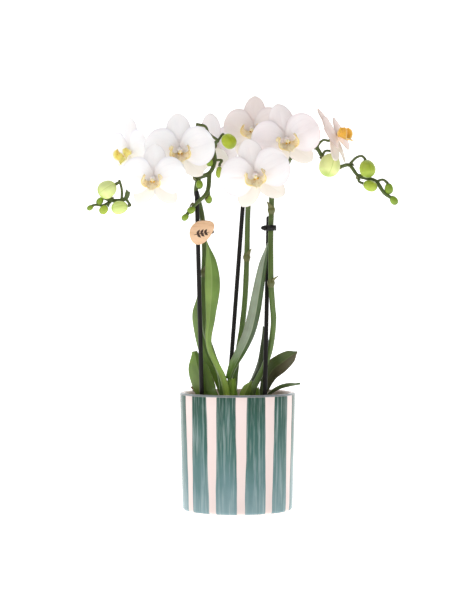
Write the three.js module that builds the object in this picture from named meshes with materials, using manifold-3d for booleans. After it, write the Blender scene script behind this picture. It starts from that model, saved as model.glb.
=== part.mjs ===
// Potted moth orchid: three flower spikes on stakes, in a clear grow pot inside a striped cover pot.
// Millimetres, +Z up, front towards -Y. The origin is the middle of the cover pot's foot.
import * as THREE from "three";
import { mergeVertices } from "three/addons/utils/BufferGeometryUtils.js";
import Module from "manifold-3d";

const wasm = await Module();
wasm.setup();

// ---- Driving dimensions ----
const CLEARANCE = 0.35; // between two pieces that touch in the real plant
const POT_HEIGHT = 107;
const POT_TOP_RADIUS = 52.5;
const POT_FOOT_RADIUS = 50;
const POT_WALL = 4;
const POT_FLOOR = 6;
const POT_SIDES = 48;
const GROW_POT_HEIGHT = 83;
const GROW_POT_ROOM = 2.6; // between the grow pot's lip and the cover pot
const GROW_POT_FOOT_RADIUS = 32.5;
const GROW_POT_WALL = 0.9;
const GROW_POT_LIP = 2;
const GROW_POT_SIDES = 36;
const DRAIN_RADIUS = 4;
const BARK_DEPTH = 75; // from the grow pot's floor to the top of the bark
const CROWN_SEAT = 5; // how deep a crown sits in the bark
const STAKE_RADIUS = 2;
const STAKE_SEAT = 48; // how deep a stake is pushed into the bark
const STAKE_INSET = 9.6; // from the edge of the bark to the outermost stake
const SPIKE_RADIUS = 2.7; // the lower half of a flower spike
const BRANCH_RADIUS = 1.9; // the upper half and the branches
const PEDICEL_RADIUS = 1.15; // the stalk of one flower or bud
const ROOT_RADIUS = 2.4;
const CLIP_WALL = 1.4;
const CLIP_HEIGHT = 5;
const CLIP_GAP = 0.9; // inside a clip, round the spike and the stake
const TAG_SIZE = 22.5;
const TAG_THICKNESS = 3;
const PETAL_LENGTH = 30;
const PETAL_WIDTH = 34;
const SEPAL_LENGTH = 31;
const SEPAL_WIDTH = 22;
const LOWER_SEPAL_LENGTH = 27;
const LOWER_SEPAL_WIDTH = 19;
const TEPAL_THICKNESS = 1.1;
const LEAF_THICKNESS = 1.8;

// Heights that follow from the sizes above
const growPotBase = POT_FLOOR + CLEARANCE;
const growPotTop = growPotBase + GROW_POT_HEIGHT;
const barkBase = growPotBase + GROW_POT_WALL + CLEARANCE;
const barkTop = barkBase + BARK_DEPTH;
// Everything that grows out of the bark is given for a bark surface at this height, and follows it
const BARK_LINE = 82.6;
const rise = barkTop - BARK_LINE;
const rimHeight = POT_HEIGHT - rise; // the cover pot's rim, in the growing plant's heights

const v3 = (p) => new THREE.Vector3(...p);

// ---- Solids ----

// Turns a closed geometry into a solid that can be joined and cut.
function solid(geometry) {
  const bare = geometry.index ? geometry.toNonIndexed() : geometry.clone();
  const points = new THREE.BufferGeometry().setAttribute("position", bare.getAttribute("position"));
  const merged = mergeVertices(points, 1e-3);
  const index = [];
  for (let i = 0; i < merged.index.count; i += 3) {
    const [a, b, c] = [0, 1, 2].map((k) => merged.index.getX(i + k));
    if (a !== b && b !== c && c !== a) index.push(a, b, c);
  }
  const build = (order) =>
    new wasm.Manifold(
      new wasm.Mesh({
        numProp: 3,
        vertProperties: new Float32Array(merged.attributes.position.array),
        triVerts: new Uint32Array(order),
      }),
    );
  const made = build(index);
  return made.volume() < 0 ? build(index.reverse()) : made;
}

// Turns a solid back into a geometry.
function shape(body) {
  const mesh = body.getMesh();
  const positions = [];
  for (let i = 0; i < mesh.numVert; i++) {
    for (let k = 0; k < 3; k++) positions.push(mesh.vertProperties[i * mesh.numProp + k]);
  }
  const geometry = new THREE.BufferGeometry();
  geometry.setAttribute("position", new THREE.Float32BufferAttribute(positions, 3));
  geometry.setIndex([...mesh.triVerts]);
  geometry.computeVertexNormals();
  return geometry;
}

// Joins closed geometries and solids into one solid.
function join(...pieces) {
  const solids = pieces.map((piece) => (piece.isBufferGeometry ? solid(piece) : piece));
  return solids.reduce((whole, piece) => whole.add(piece));
}

// A skin through sections that all have the same number of points, closed at both ends.
function loft(sections) {
  const count = sections[0].length;
  const index = [];
  for (let i = 0; i + 1 < sections.length; i++) {
    for (let j = 0; j < count; j++) {
      const a = i * count + j;
      const b = i * count + ((j + 1) % count);
      index.push(a, b, b + count, a, b + count, a + count);
    }
  }
  const last = (sections.length - 1) * count;
  for (let low = 0, high = count - 1; low + 1 < high; ) {
    index.push(low, high, low + 1);
    index.push(last + low, last + low + 1, last + high);
    low++;
    if (low + 1 > high - 1) break;
    index.push(low, high, high - 1);
    index.push(last + low, last + high - 1, last + high);
    high--;
  }
  const geometry = new THREE.BufferGeometry();
  const flat = sections.flat().flatMap((p) => [p.x, p.y, p.z]);
  geometry.setAttribute("position", new THREE.Float32BufferAttribute(flat, 3));
  geometry.setIndex(index);
  return shape(solid(geometry));
}

// Reads a list of values evenly spaced over 0..1.
function along(values, u) {
  const place = u * (values.length - 1);
  const i = Math.min(Math.floor(place), values.length - 2);
  return THREE.MathUtils.lerp(values[i], values[i + 1], place - i);
}

// A leaf, a petal or a lobe: a thin blade along a spine. `across` is the width direction at the
// start and at the end, `half` the half widths along it, and `fold` lifts the edges.
function blade({ spine, across, half, fold = 0, thick, rows = 8, cols = 2 }) {
  const curve = new THREE.CatmullRomCurve3(spine.map(v3));
  const sections = [];
  for (let i = 0; i <= rows; i++) {
    const u = i / rows;
    const at = curve.getPoint(u);
    const forward = curve.getTangent(u);
    const side = v3(across[0]).lerp(v3(across[1]), u);
    side.addScaledVector(forward, -side.dot(forward)).normalize();
    const up = forward.clone().cross(side);
    const upper = [];
    const lower = [];
    for (let j = 0; j <= cols; j++) {
      const v = (2 * j) / cols - 1;
      const middle = at.clone().addScaledVector(side, along(half, u) * v);
      middle.addScaledVector(up, fold * along(half, u) * v * v);
      const skin = (thick / 2) * (1 - 0.55 * v * v);
      upper.push(middle.clone().addScaledVector(up, skin));
      lower.unshift(middle.clone().addScaledVector(up, -skin));
    }
    sections.push([...upper, ...lower]);
  }
  return loft(sections);
}

// A round bar along a smooth curve through the points.
function rod(points, radius, sides = 7, spacing = 9) {
  const curve = new THREE.CatmullRomCurve3(points.map(v3));
  const section = new THREE.Shape();
  for (let k = 0; k < sides; k++) {
    const turn = (2 * Math.PI * k) / sides;
    section[k ? "lineTo" : "moveTo"](radius * Math.cos(turn), radius * Math.sin(turn));
  }
  const steps = Math.max(2, Math.round(curve.getLength() / spacing));
  return new THREE.ExtrudeGeometry(section, { steps, bevelEnabled: false, extrudePath: curve });
}

// A lathe around Z from [radius, height] pairs.
function turned(profile, sides) {
  const points = profile.map(([r, z]) => new THREE.Vector2(r, z));
  return new THREE.LatheGeometry(points, sides).rotateX(Math.PI / 2);
}

// Turns a geometry made along +Z so that it starts at `from` and points to `to`.
function aimed(geometry, from, to) {
  const turn = new THREE.Quaternion().setFromUnitVectors(
    new THREE.Vector3(0, 0, 1),
    v3(to).sub(v3(from)).normalize(),
  );
  return geometry.clone().applyQuaternion(turn).translate(...from);
}

const plant = new THREE.Group();
const growing = new THREE.Group();
growing.position.z = rise;
plant.add(growing);

function add(name, piece, color, roughness, group = growing) {
  const geometry = piece.isBufferGeometry ? piece : shape(piece);
  const material = new THREE.MeshStandardMaterial({ color, roughness, metalness: 0 });
  const mesh = new THREE.Mesh(geometry, material);
  mesh.name = name;
  group.add(mesh);
  return mesh;
}

// ---- Cover pot, grow pot and bark ----

const potInside = (z) =>
  THREE.MathUtils.lerp(POT_FOOT_RADIUS, POT_TOP_RADIUS, z / POT_HEIGHT) - POT_WALL;
const pot = turned(
  [
    [0, 0],
    [POT_FOOT_RADIUS - 3.2, 0],
    [POT_FOOT_RADIUS - 1, 1],
    [POT_FOOT_RADIUS, 3.5],
    [POT_TOP_RADIUS, POT_HEIGHT - 2],
    [POT_TOP_RADIUS - 0.5, POT_HEIGHT - 0.5],
    [POT_TOP_RADIUS - POT_WALL / 2, POT_HEIGHT],
    [potInside(POT_HEIGHT) + 0.4, POT_HEIGHT - 0.6],
    [potInside(POT_HEIGHT), POT_HEIGHT - 2.4],
    [potInside(POT_FLOOR + 4), POT_FLOOR + 4],
    [potInside(POT_FLOOR) - 4, POT_FLOOR],
    [0, POT_FLOOR],
  ],
  POT_SIDES,
);
add("pot", pot, "#F4E6E0", 0.18, plant);

const growPotRadius = potInside(growPotTop) - GROW_POT_ROOM - GROW_POT_LIP;

const growPotInside = (z) =>
  THREE.MathUtils.mapLinear(
    z,
    growPotBase,
    growPotTop,
    GROW_POT_FOOT_RADIUS - GROW_POT_WALL,
    growPotRadius - GROW_POT_WALL,
  );
let growPot = solid(
  turned(
    [
      [0, growPotBase],
      [GROW_POT_FOOT_RADIUS, growPotBase],
      [growPotRadius - 0.3, growPotTop - 3],
      [growPotRadius + GROW_POT_LIP, growPotTop - 3],
      [growPotRadius + GROW_POT_LIP, growPotTop],
      [growPotInside(growPotTop), growPotTop],
      [growPotInside(growPotBase + GROW_POT_WALL), growPotBase + GROW_POT_WALL],
      [0, growPotBase + GROW_POT_WALL],
    ],
    GROW_POT_SIDES,
  ),
);
for (let k = 0; k < 5; k++) {
  const turn = (2 * Math.PI * k) / 5;
  const drain = new THREE.CylinderGeometry(DRAIN_RADIUS, DRAIN_RADIUS, 4, 10);
  drain.rotateX(Math.PI / 2);
  const reach = 0.6 * GROW_POT_FOOT_RADIUS;
  drain.translate(reach * Math.cos(turn), reach * Math.sin(turn), growPotBase);
  growPot = growPot.subtract(solid(drain));
}
add("grow_pot", growPot, "#D9DEDA", 0.15, plant);

const barkRadius = (z) => growPotInside(z) - CLEARANCE;
const barkEdge = barkRadius(barkTop);

// Crowns: the short stems that the leaves and spikes come out of.
const crownsAt = {
  crown_left: { at: [-5.5, 0], radius: 6, top: 120 },
  crown_right: { at: [16.5, 2], radius: 5, top: 111 },
};
function crown({ at, radius, top }, gap = 0) {
  const profile = [
    [0, BARK_LINE - CROWN_SEAT - gap],
    [0.75 * radius + gap, BARK_LINE - CROWN_SEAT - gap],
    [radius + gap, BARK_LINE + 6],
    [0.95 * radius + gap, top - 12],
    [0.6 * radius + gap, top - 3],
    [0, top + gap],
  ];
  return turned(profile, 12).translate(at[0], at[1], 0);
}

// Stakes: [foot at the bark's surface, top]. Each stands beside its spike, a stake and a spike away.
const besideSpike = SPIKE_RADIUS + STAKE_RADIUS;
const stakes = {
  stake_left: [
    [STAKE_INSET - barkEdge, -besideSpike - 3.3, BARK_LINE],
    [-36.8, -besideSpike - 0.6, 289],
  ],
  stake_centre: [
    [-9.6, besideSpike + 13.3, BARK_LINE],
    [5.9, besideSpike + 14.1, 290],
  ],
  stake_right: [
    [24.2, -besideSpike - 8.3, BARK_LINE],
    [28.1, besideSpike - 1.2, 266],
  ],
};
const down = (foot, top) => v3(foot).sub(v3(top)).normalize();
function stake([foot, top], gap = 0) {
  const start = v3(foot).addScaledVector(down(foot, top), STAKE_SEAT + gap);
  const length = start.distanceTo(v3(top));
  const r = STAKE_RADIUS + gap;
  const bar = turned([[0, 0], [r, 0], [r, length - 1], [0.6 * r, length], [0, length]], 10);
  return aimed(bar, start.toArray(), top);
}

const barkBump = (x, y) => 1.1 * Math.sin(0.33 * x + 1) * Math.cos(0.29 * y) + 0.7 * Math.sin(0.2 * (x - y));
const barkBody = turned(
  [
    [0, barkBase],
    [barkRadius(barkBase), barkBase],
    [barkEdge, barkTop],
    [0.78 * barkEdge, barkTop],
    [0.52 * barkEdge, barkTop],
    [0.26 * barkEdge, barkTop],
    [0, barkTop],
  ],
  GROW_POT_SIDES,
);
const barkPoints = barkBody.getAttribute("position");
for (let i = 0; i < barkPoints.count; i++) {
  const [x, y, z] = [barkPoints.getX(i), barkPoints.getY(i), barkPoints.getZ(i)];
  const inside = Math.hypot(x, y) < 0.9 * barkEdge;
  if (inside && z > barkTop - 1) barkPoints.setZ(i, z + barkBump(x, y));
}
let bark = solid(barkBody);
for (let k = 0; k < 9; k++) {
  const turn = 2.4 * k;
  const reach = (0.32 + 0.055 * k) * barkEdge;
  const chip = new THREE.BoxGeometry(9 - 0.3 * k, 6, 4.5);
  chip.rotateX(0.35 * Math.sin(3 * k));
  chip.rotateZ(1.3 * k);
  chip.translate(reach * Math.cos(turn), reach * Math.sin(turn), barkTop - 0.4);
  bark = bark.add(solid(chip));
}
const seats = [
  ...Object.values(crownsAt).map((crownAt) => crown(crownAt, CLEARANCE)),
  ...Object.values(stakes).map((line) => stake(line, CLEARANCE)),
];
for (const seat of seats) bark = bark.subtract(solid(seat.translate(0, 0, rise)));
add("bark", bark, "#5A3B26", 0.9, plant);
for (const [name, crownAt] of Object.entries(crownsAt)) add(name, crown(crownAt), "#7C9A3A", 0.45);
for (const [name, line] of Object.entries(stakes)) add(name, stake(line), "#1E1B1A", 0.4);

// Aerial roots that leave the crowns and lie over the bark
const rootLine = BARK_LINE + ROOT_RADIUS + 3.4;
const roots = {
  root_left: [[-8.5, -9.5, rootLine + 2], [-15, -17, rootLine + 1.5], [-25, -23, rootLine]],
  root_front: [[-2.5, -9.5, rootLine + 3], [-4, -19, rootLine + 2], [-8, -30, rootLine]],
  root_back: [[6, 9, rootLine + 4], [14, 18, rootLine + 3], [24, 24, rootLine]],
};
for (const [name, line] of Object.entries(roots)) add(name, rod(line, ROOT_RADIUS, 8, 6), "#A7B08C", 0.7);

// ---- Leaves ----

const leaves = {
  leaf_tall_left: {
    spine: [[-9, -8.5, 97], [-13.5, -9, 119], [-26, -12, 149], [-24.5, -12, 176], [-22.9, -11, 204],
      [-24, -9, 225], [-27.7, -7.5, 243]],
    across: [[0.7, -0.7, 0], [1, 0.1, 0]],
    half: [3.6, 3.6, 2.8, 4.6, 7, 5, 0.6],
    fold: 0.3,
    color: "#7C8858",
  },
  leaf_back_left: {
    spine: [[-10, 9, 94], [-17, 13, 118], [-28.5, 15, 139], [-35, 15.5, 163], [-37.5, 15, 178],
      [-36.4, 14, 193]],
    across: [[0.88, 0.47, 0], [1, 0, 0]],
    half: [3, 4.5, 4.8, 4.6, 3.6, 0.6],
    fold: 0.35,
    color: "#3B4A20",
  },
  leaf_broad_left: {
    spine: [[-15, -4, 92], [-21, -3.5, 99], [-27, -2, 106], [-31, -1, 118], [-34.6, -0.5, 130],
      [-37.8, 0, 144]],
    across: [[0.6, -0.6, 0.3], [0.95, 0, 0.3]],
    half: [3.5, 6.5, 9, 9.2, 7.6, 2],
    fold: 0.2,
    color: "#6E8A3A",
  },
  leaf_low_left: {
    spine: [[-12, 8.5, 88], [-24, 9, 93.5], [-35, 10, 103], [-41.8, 9, 111.5]],
    across: [[0, -1, 0], [0, -1, 0]],
    half: [2, 3.2, 3, 0.6],
    fold: 0.3,
    color: "#8B6B45",
  },
  leaf_tall_centre: {
    spine: [[-7, -3, 122.5], [-3, -7, 131], [2, -10, 140.5], [10.9, -12, 159.5], [15.4, -13, 176.7],
      [19, -13, 197.5], [23.2, -12, 222.9], [27.2, -11, 241.9]],
    across: [[0.8, 0.4, 0], [1, 0.2, 0]],
    half: [3, 4.6, 5.2, 5.8, 5.8, 5.2, 3.6, 0.5],
    fold: 0.45,
    color: "#4D6130",
  },
  leaf_dark_centre: {
    spine: [[3, 4.5, 97], [8, 9.5, 109], [15.5, 16, 120], [22.5, 17.5, 134], [25, 17.5, 149], [23.5, 17, 166]],
    across: [[0.3, -0.8, 0.2], [1, 0, 0.1]],
    half: [3, 4.6, 5.4, 5.2, 4.2, 0.6],
    fold: 0.3,
    color: "#2E3F1B",
  },
  leaf_broad_right: {
    spine: [[21.5, 10, 97], [25, 11, 110], [31, 10, 125], [40.5, 5, 133.5], [48.9, 1, 140], [54, -1, 143.5]],
    across: [[-0.7, 0.5, 0.2], [-0.64, 0, 0.76]],
    half: [3, 4.8, 8.2, 8.2, 5.6, 0.8],
    fold: 0.15,
    color: "#5C6133",
  },
  leaf_low_right: {
    // this one arches over the cover pot's rim
    spine: [[23.5, -3.3, 97], [30, -4.8, rimHeight - 1], [38, -6.5, rimHeight + 4], [47, -8, rimHeight + 6.6],
      [56.5, -8.5, rimHeight + 8.4]],
    across: [[0, 1, 0], [0, 1, 0]],
    half: [3, 4.2, 4.6, 3.8, 0.5],
    fold: 0.4,
    color: "#3D5224",
  },
  leaf_small_front: {
    spine: [[4, -10.5, 92.5], [5, -14, 101], [8.5, -17, 111], [13, -19, 118]],
    across: [[0.8, -0.2, 0], [1, 0, -0.3]],
    half: [2.8, 4.4, 4, 0.6],
    fold: 0.3,
    color: "#8FA650",
  },
};
for (const [name, leaf] of Object.entries(leaves)) {
  add(name, blade({ ...leaf, thick: LEAF_THICKNESS, rows: 9 }), leaf.color, 0.4);
}

// ---- Flowers ----

// The flower's own frame: +X to its right as one looks at it, +Y to its top sepal, +Z outwards.
// Each whorl stands a little further out than the one behind it.
const sepalBase = -3.4;
const hubBack = sepalBase - 1.1;
const columnBack = TEPAL_THICKNESS / 2 + CLEARANCE + 0.1;

function tepal({ angle, length, width, start, base, arch, tip, cup, belly, rows, cols }) {
  const out = new THREE.Vector3(Math.cos(angle), Math.sin(angle), 0);
  const side = [-out.y, out.x, 0];
  const spine = [0, 0.25, 0.5, 0.75, 1].map((u) => {
    const p = out.clone().multiplyScalar(start + (length - start) * u);
    return [p.x, p.y, base + arch * 4 * u * (1 - u) + tip * u * u];
  });
  const half = belly.map((share) => (share * width) / 2);
  return blade({ spine, across: [side, side], half, fold: cup, thick: TEPAL_THICKNESS, rows, cols });
}

function sepalWhorl() {
  const hub = turned([[0, hubBack], [2.6, hubBack], [3.2, sepalBase + 0.9], [0, sepalBase + 0.9]], 6);
  const sepal = { start: 1, base: sepalBase, arch: 0.8, tip: -3.2, cup: -0.08, rows: 4, cols: 2 };
  const top = tepal({ ...sepal, angle: Math.PI / 2, length: SEPAL_LENGTH + 2, width: SEPAL_WIDTH,
    belly: [0.28, 0.72, 0.96, 0.98, 0.75, 0.16] });
  const lower = [-1, 1].map((hand) =>
    tepal({ ...sepal, angle: -Math.PI / 2 + (hand * 41 * Math.PI) / 180, length: LOWER_SEPAL_LENGTH + 2,
      width: LOWER_SEPAL_WIDTH, belly: [0.3, 0.8, 1, 0.92, 0.62, 0.12] }),
  );
  return shape(join(hub, top, ...lower));
}

function petalPair() {
  const petal = { length: PETAL_LENGTH + 1, width: PETAL_WIDTH, start: -1.2, base: 0, arch: 1.6, tip: -0.6,
    cup: -0.07, belly: [0.12, 0.66, 0.98, 1, 0.8, 0.3], rows: 5, cols: 2 };
  const lift = (14 * Math.PI) / 180;
  return shape(join(tepal({ ...petal, angle: lift }), tepal({ ...petal, angle: Math.PI - lift })));
}

// The lip: a short middle lobe and two side lobes that curl up into a cup, with the column above them.
function lip() {
  const column = new THREE.SphereGeometry(1, 6, 4).scale(2.3, 2.6, 3.6).translate(0, 0.8, columnBack + 3.5);
  const middle = blade({ spine: [[0, 0, columnBack + 2.2], [0, -4.5, 5.4], [0, -7.4, 8.6], [0, -9.6, 12.4]],
    across: [[1, 0, 0], [1, 0, 0]], half: [1.6, 3.6, 5.2, 5, 1.8], fold: 0.3, thick: 1.5, rows: 4 });
  const sides = [-1, 1].map((hand) =>
    blade({ spine: [[0, -1, columnBack + 2.6], [hand * 4.4, -3, 6], [hand * 7.6, -0.8, 8.8],
      [hand * 7, 3.6, 10.4]], across: [[0, 0.7, -0.7], [0, 0.5, -0.86]], half: [1.3, 3.4, 4.4, 4, 1.8],
      fold: -0.2, thick: 1.3, rows: 4, cols: 1 }),
  );
  return shape(join(column, middle, ...sides));
}

const whorls = { sepals: sepalWhorl(), petals: petalPair(), lip: lip() };
const whorlLooks = { sepals: ["#F7F3F4", 0.5], petals: ["#FBF9FB", 0.5], lip: ["#F3DFA8", 0.45] };

// Flowers: centre, facing (degrees from the front towards +X, and upwards), roll and scale
const flowers = {
  flower_1: { at: [-97.5, 2, 323.5], turn: -52, rise: -8, roll: 3, scale: 0.95 },
  flower_2: { at: [-73.8, -46, 297.8], turn: -10, rise: -4, roll: 0, scale: 0.95 },
  flower_3: { at: [-51.6, -24, 323.6], turn: 4, rise: -3, roll: 3, scale: 1.03 },
  flower_4: { at: [-22.2, 50, 330], turn: 148, rise: 0, roll: 0, scale: 0.97 },
  flower_5: { at: [14.8, 16, 345], turn: -18, rise: 0, roll: 2, scale: 0.95 },
  flower_6: { at: [43.8, -24, 332.9], turn: 6, rise: -2, roll: 13.5, scale: 1.03 },
  flower_7: { at: [16.5, -44, 300.5], turn: -4, rise: -3, roll: 15, scale: 1.03 },
  flower_8: { at: [89.6, -5, 337.5], turn: 70, rise: 24, roll: 0, scale: 0.94 },
};
function flowerMatrix({ at, turn, rise, roll, scale }) {
  const [a, e] = [THREE.MathUtils.degToRad(turn), THREE.MathUtils.degToRad(rise)];
  const out = new THREE.Vector3(Math.sin(a) * Math.cos(e), -Math.cos(a) * Math.cos(e), Math.sin(e));
  const right = new THREE.Vector3(Math.cos(a), Math.sin(a), 0);
  const basis = new THREE.Matrix4().makeBasis(right, out.clone().cross(right), out);
  basis.multiply(new THREE.Matrix4().makeRotationZ(THREE.MathUtils.degToRad(roll)));
  return basis.setPosition(...at).multiply(new THREE.Matrix4().makeScale(scale, scale, scale));
}
for (const [name, flower] of Object.entries(flowers)) {
  const matrix = flowerMatrix(flower);
  for (const [whorl, geometry] of Object.entries(whorls)) {
    const mesh = add(name + "_" + whorl, geometry, ...whorlLooks[whorl]);
    matrix.decompose(mesh.position, mesh.quaternion, mesh.scale);
  }
}
// Where a flower's stalk ends, just behind its hub, and a point `reach` further back
function behind(name, reach = 0) {
  const back = hubBack - CLEARANCE / flowers[name].scale - 0.05 - reach;
  return new THREE.Vector3(0, 0, back).applyMatrix4(flowerMatrix(flowers[name])).toArray();
}

// ---- Buds ----

// Buds: centre, half length, half width and the direction of the tip
const buds = {
  bud_left_1: { at: [-116.7, -19, 289.8], long: 8.6, wide: 7.7, tip: [-0.8, -0.2, -0.5] },
  bud_left_2: { at: [-105.7, -16, 273.6], long: 7.3, wide: 5.8, tip: [-0.95, 0, -0.2] },
  bud_left_3: { at: [-119.9, -17, 271.6], long: 4.4, wide: 3.6, tip: [-0.6, 0, -0.6] },
  bud_centre: { at: [-7.9, -2, 333.8], long: 7.3, wide: 6.2, tip: [0.5, -0.3, -0.6] },
  bud_hanging: { at: [-16.7, 0, 306], long: 5.2, wide: 2.8, tip: [-0.1, 0, -1] },
  bud_right_1: { at: [83.4, 1, 312.4], long: 10.6, wide: 9.2, tip: [-0.25, -0.2, -0.9] },
  bud_right_2: { at: [116.9, -7.5, 308.8], long: 8, wide: 7, tip: [0.2, -0.3, -0.9] },
  bud_right_3: { at: [119.5, -7, 293.4], long: 6.4, wide: 4.8, tip: [0.9, 0, -0.3] },
};
function bud(long, wide, sides = 10) {
  const profile = [
    [0, -long],
    [0.62 * wide, -0.72 * long],
    [wide, -0.15 * long],
    [0.86 * wide, 0.42 * long],
    [0.42 * wide, 0.84 * long],
    [0, long],
  ];
  return turned(profile, sides);
}
const ahead = (at, tip, reach) => v3(at).addScaledVector(v3(tip).normalize(), reach).toArray();
for (const [name, { at, long, wide, tip }] of Object.entries(buds)) {
  add(name, aimed(bud(long, wide), at, ahead(at, tip, 1)), "#B5C94A", 0.5);
}
// Where a bud's stalk ends, and a point `reach` further back along its axis
function stalkEnd(name, reach = 0) {
  const { at, long, tip } = buds[name];
  return ahead(at, tip, -long - CLEARANCE - 0.3 - reach);
}
const smallBud = (at, tip, long) => aimed(bud(long, 0.78 * long, 6), at, ahead(at, tip, 1));

// ---- Flower spikes ----

// The thick lower part of each spike, from the crown upwards
const routes = {
  left: [[-14.5, 3.2, 92], [-14.6, 3.4, 118], [-22, 2, 140], [-29, 0, 163], [-30.8, 0, 190], [-29.9, 0, 239],
    [-32.3, 0, 267], [-37.5, 0, 288.5]],
  centre: [[-3, 12.5, 92], [-2.8, 13, 110], [-1.5, 15, 127], [1, 16.5, 145], [4, 18, 164], [6.8, 18, 191],
    [8.6, 16, 231], [9.2, 14.8, 262], [10, 12, 284]],
  right: [[14.5, -8.5, 93], [14.2, -7.5, 109], [22.6, -3.5, 126.9], [28, -1.5, 140.5], [30.8, -2, 153.2],
    [32.6, -3.5, 172.2], [31.7, -5.2, 184.8], [30.3, -6.8, 205.7], [30, -4, 246.8], [30.6, -3, 271.7],
    [31, -3, 287]],
};
const pedicel = (...points) => rod(points, PEDICEL_RADIUS, 5, 9);
const branch = (...points) => rod(points, BRANCH_RADIUS, 6, 10);
const stem = (...points) => rod(points, SPIKE_RADIUS, 7, 15);
// A joint on a spike: a slight swelling with a scale leaf that points up along `tip`
function joint(at, tip) {
  const ring = new THREE.SphereGeometry(1, 7, 4).scale(3.5, 3.5, 2.6).translate(...at);
  const scaleLeaf = turned([[0, 0], [1.9, 0], [1.5, 5], [0, 10]], 6);
  return join(ring, aimed(scaleLeaf, at, ahead(at, tip, 1)));
}

const forkLeft = [-36.9, -1, 300.8];
const spikeLeft = join(
  stem(...routes.left),
  joint([-30.3, 0, 215], [0.4, -0.5, 0.9]),
  branch(...routes.left.slice(-2), forkLeft, [-51.1, -6, 309], [-65, -7, 314], [-77.5, -7, 315], [-81, -13, 308],
    [-87, -18, 300], [-97.5, -15, 291], [-100.6, -12, 281.8]),
  branch([-97.5, -15, 291], [-100.6, -12, 281.8], [-113, -12, 280], [-121.5, -12, 283]),
  smallBud([-123.6, -13, 279.4], [-0.6, -0.2, -0.8], 3.8),
  pedicel([-121.5, -12, 283], [-123.3, -12.4, 281]),
  pedicel([-113, -12, 280], [-121, -13, 275.6], [-128, -14, 276], [-131.5, -14, 274.5]),
  smallBud([-132.3, -14, 273.5], [-0.8, 0, -0.5], 3),
  pedicel([-104, -12, 281.4], [-104, -13, 290], [-106, -15, 297.6], stalkEnd("bud_left_1", 4),
    stalkEnd("bud_left_1")),
  pedicel([-100.6, -12, 281.8], [-97, -13, 277], stalkEnd("bud_left_2", 2), stalkEnd("bud_left_2")),
  pedicel([-113, -12, 280], [-115.5, -13.5, 277.2], stalkEnd("bud_left_3", 1), stalkEnd("bud_left_3")),
  pedicel([-77.5, -7, 315], [-82, -3, 322], behind("flower_1", 7), behind("flower_1")),
  pedicel([-65, -7, 314], [-72, -14, 312], [-74.5, -28, 302], behind("flower_2", 6), behind("flower_2")),
  pedicel([-51.1, -6, 309], [-50, -9, 317], behind("flower_3", 6), behind("flower_3")),
  branch(forkLeft, [-25.4, 0, 305.2], [-20.4, 2, 316.7], [-22, 3, 329.8], [-17.5, 0, 334.5]),
  pedicel([-22, 3, 329.8], [-17.5, 0, 334.5], stalkEnd("bud_centre", 1.5), stalkEnd("bud_centre")),
  pedicel([-22, 3, 329.8], [-26, 18, 334], behind("flower_4", 8), behind("flower_4")),
  pedicel([-17.5, 0, 334.5], [-26, -1, 341], [-29, -2, 347], [-37.5, -3, 349]),
  pedicel([-20.4, 2, 316.7], [-14, 1, 316.5], stalkEnd("bud_hanging", 2), stalkEnd("bud_hanging")),
  smallBud([-25.3, -1, 315], [0.1, 0, -0.9], 4),
  pedicel([-20.6, 2, 315], [-24.9, -1, 317.5]),
  branch([-25.4, 0, 305.2], [-26.4, -4, 291], [-29, -8, 285], [-39, -11, 275.4], [-46.5, -11.6, 266]),
  smallBud([-26, -5, 281.5], [0.1, 0, -1], 4),
  pedicel([-26.4, -4, 291], [-25.8, -4.5, 287], [-26, -5, 284]),
  smallBud([-41.5, -11.4, 271.5], [-0.9, 0, -0.6], 4),
  smallBud([-47, -11.8, 265], [-0.8, 0, -0.8], 3.6),
  smallBud([-34.2, -6.5, 294.6], [0, -0.2, -1], 4),
  pedicel([-36.5, -1, 301.5], [-34.4, -5, 299.5], [-34.2, -6.4, 297]),
);

const spikeCentre = join(
  stem(...routes.centre),
  joint([8.5, 16.2, 229], [0.5, -0.5, 0.9]),
  branch(...routes.centre.slice(-2), [13, 9, 300], [18, 13, 318], [23, 24, 331], behind("flower_5", 7),
    behind("flower_5", 1)),
  pedicel(behind("flower_5", 5), behind("flower_5")),
  pedicel([13, 9, 300], [16, -8, 305], [17.5, -26, 304], behind("flower_7", 6), behind("flower_7")),
);

const spikeRight = join(
  stem(...routes.right),
  joint([30.3, -6.8, 205.7], [0.8, -0.3, 0.8]),
  joint([30.6, -3, 271.7], [-0.5, -0.6, 0.9]),
  branch(...routes.right.slice(-2), [36.2, -2, 300.7], [44.3, 0, 315], [57, 4, 324], [71.1, 7, 328.2],
    [76.9, 11, 321], [84, 15.5, 316], [93, 14.5, 311.8], [101.4, 5, 312.4], [109.3, -1, 302.5], [118, -2, 300.2]),
  branch([109.3, -1, 302.5], [118, -2, 300.2], [125.3, -2, 297.3], [132.5, -2, 287.2], [139.2, -2, 282.4]),
  pedicel([44.3, 0, 315], [46.5, -7, 325], behind("flower_6", 6), behind("flower_6")),
  pedicel([71.6, 7.6, 326.5], [73, 6, 330.5], [77.5, 3, 335], behind("flower_8", 4), behind("flower_8")),
  pedicel([76.9, 11, 321], [80, 7, 325.5], stalkEnd("bud_right_1", 1.5), stalkEnd("bud_right_1")),
  pedicel([101.4, 5, 312.8], [107, 0, 318.8], [112, -4, 320.3], stalkEnd("bud_right_2", 1.5),
    stalkEnd("bud_right_2")),
  pedicel([109.3, -1, 302.5], [109.5, -5, 297.5], stalkEnd("bud_right_3", 1), stalkEnd("bud_right_3")),
  pedicel([125.3, -2, 297.3], [131.5, -2, 299], [136, -2, 295.5]),
  smallBud([136.7, -2, 291], [0.1, 0, -1], 5),
  smallBud([141.2, -2, 280.4], [0.6, 0, -0.8], 4.4),
);
const spikes = { spike_left: spikeLeft, spike_centre: spikeCentre, spike_right: spikeRight };
for (const [name, body] of Object.entries(spikes)) add(name, body, "#57702F", 0.5);

// ---- Clips and tag ----

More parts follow.
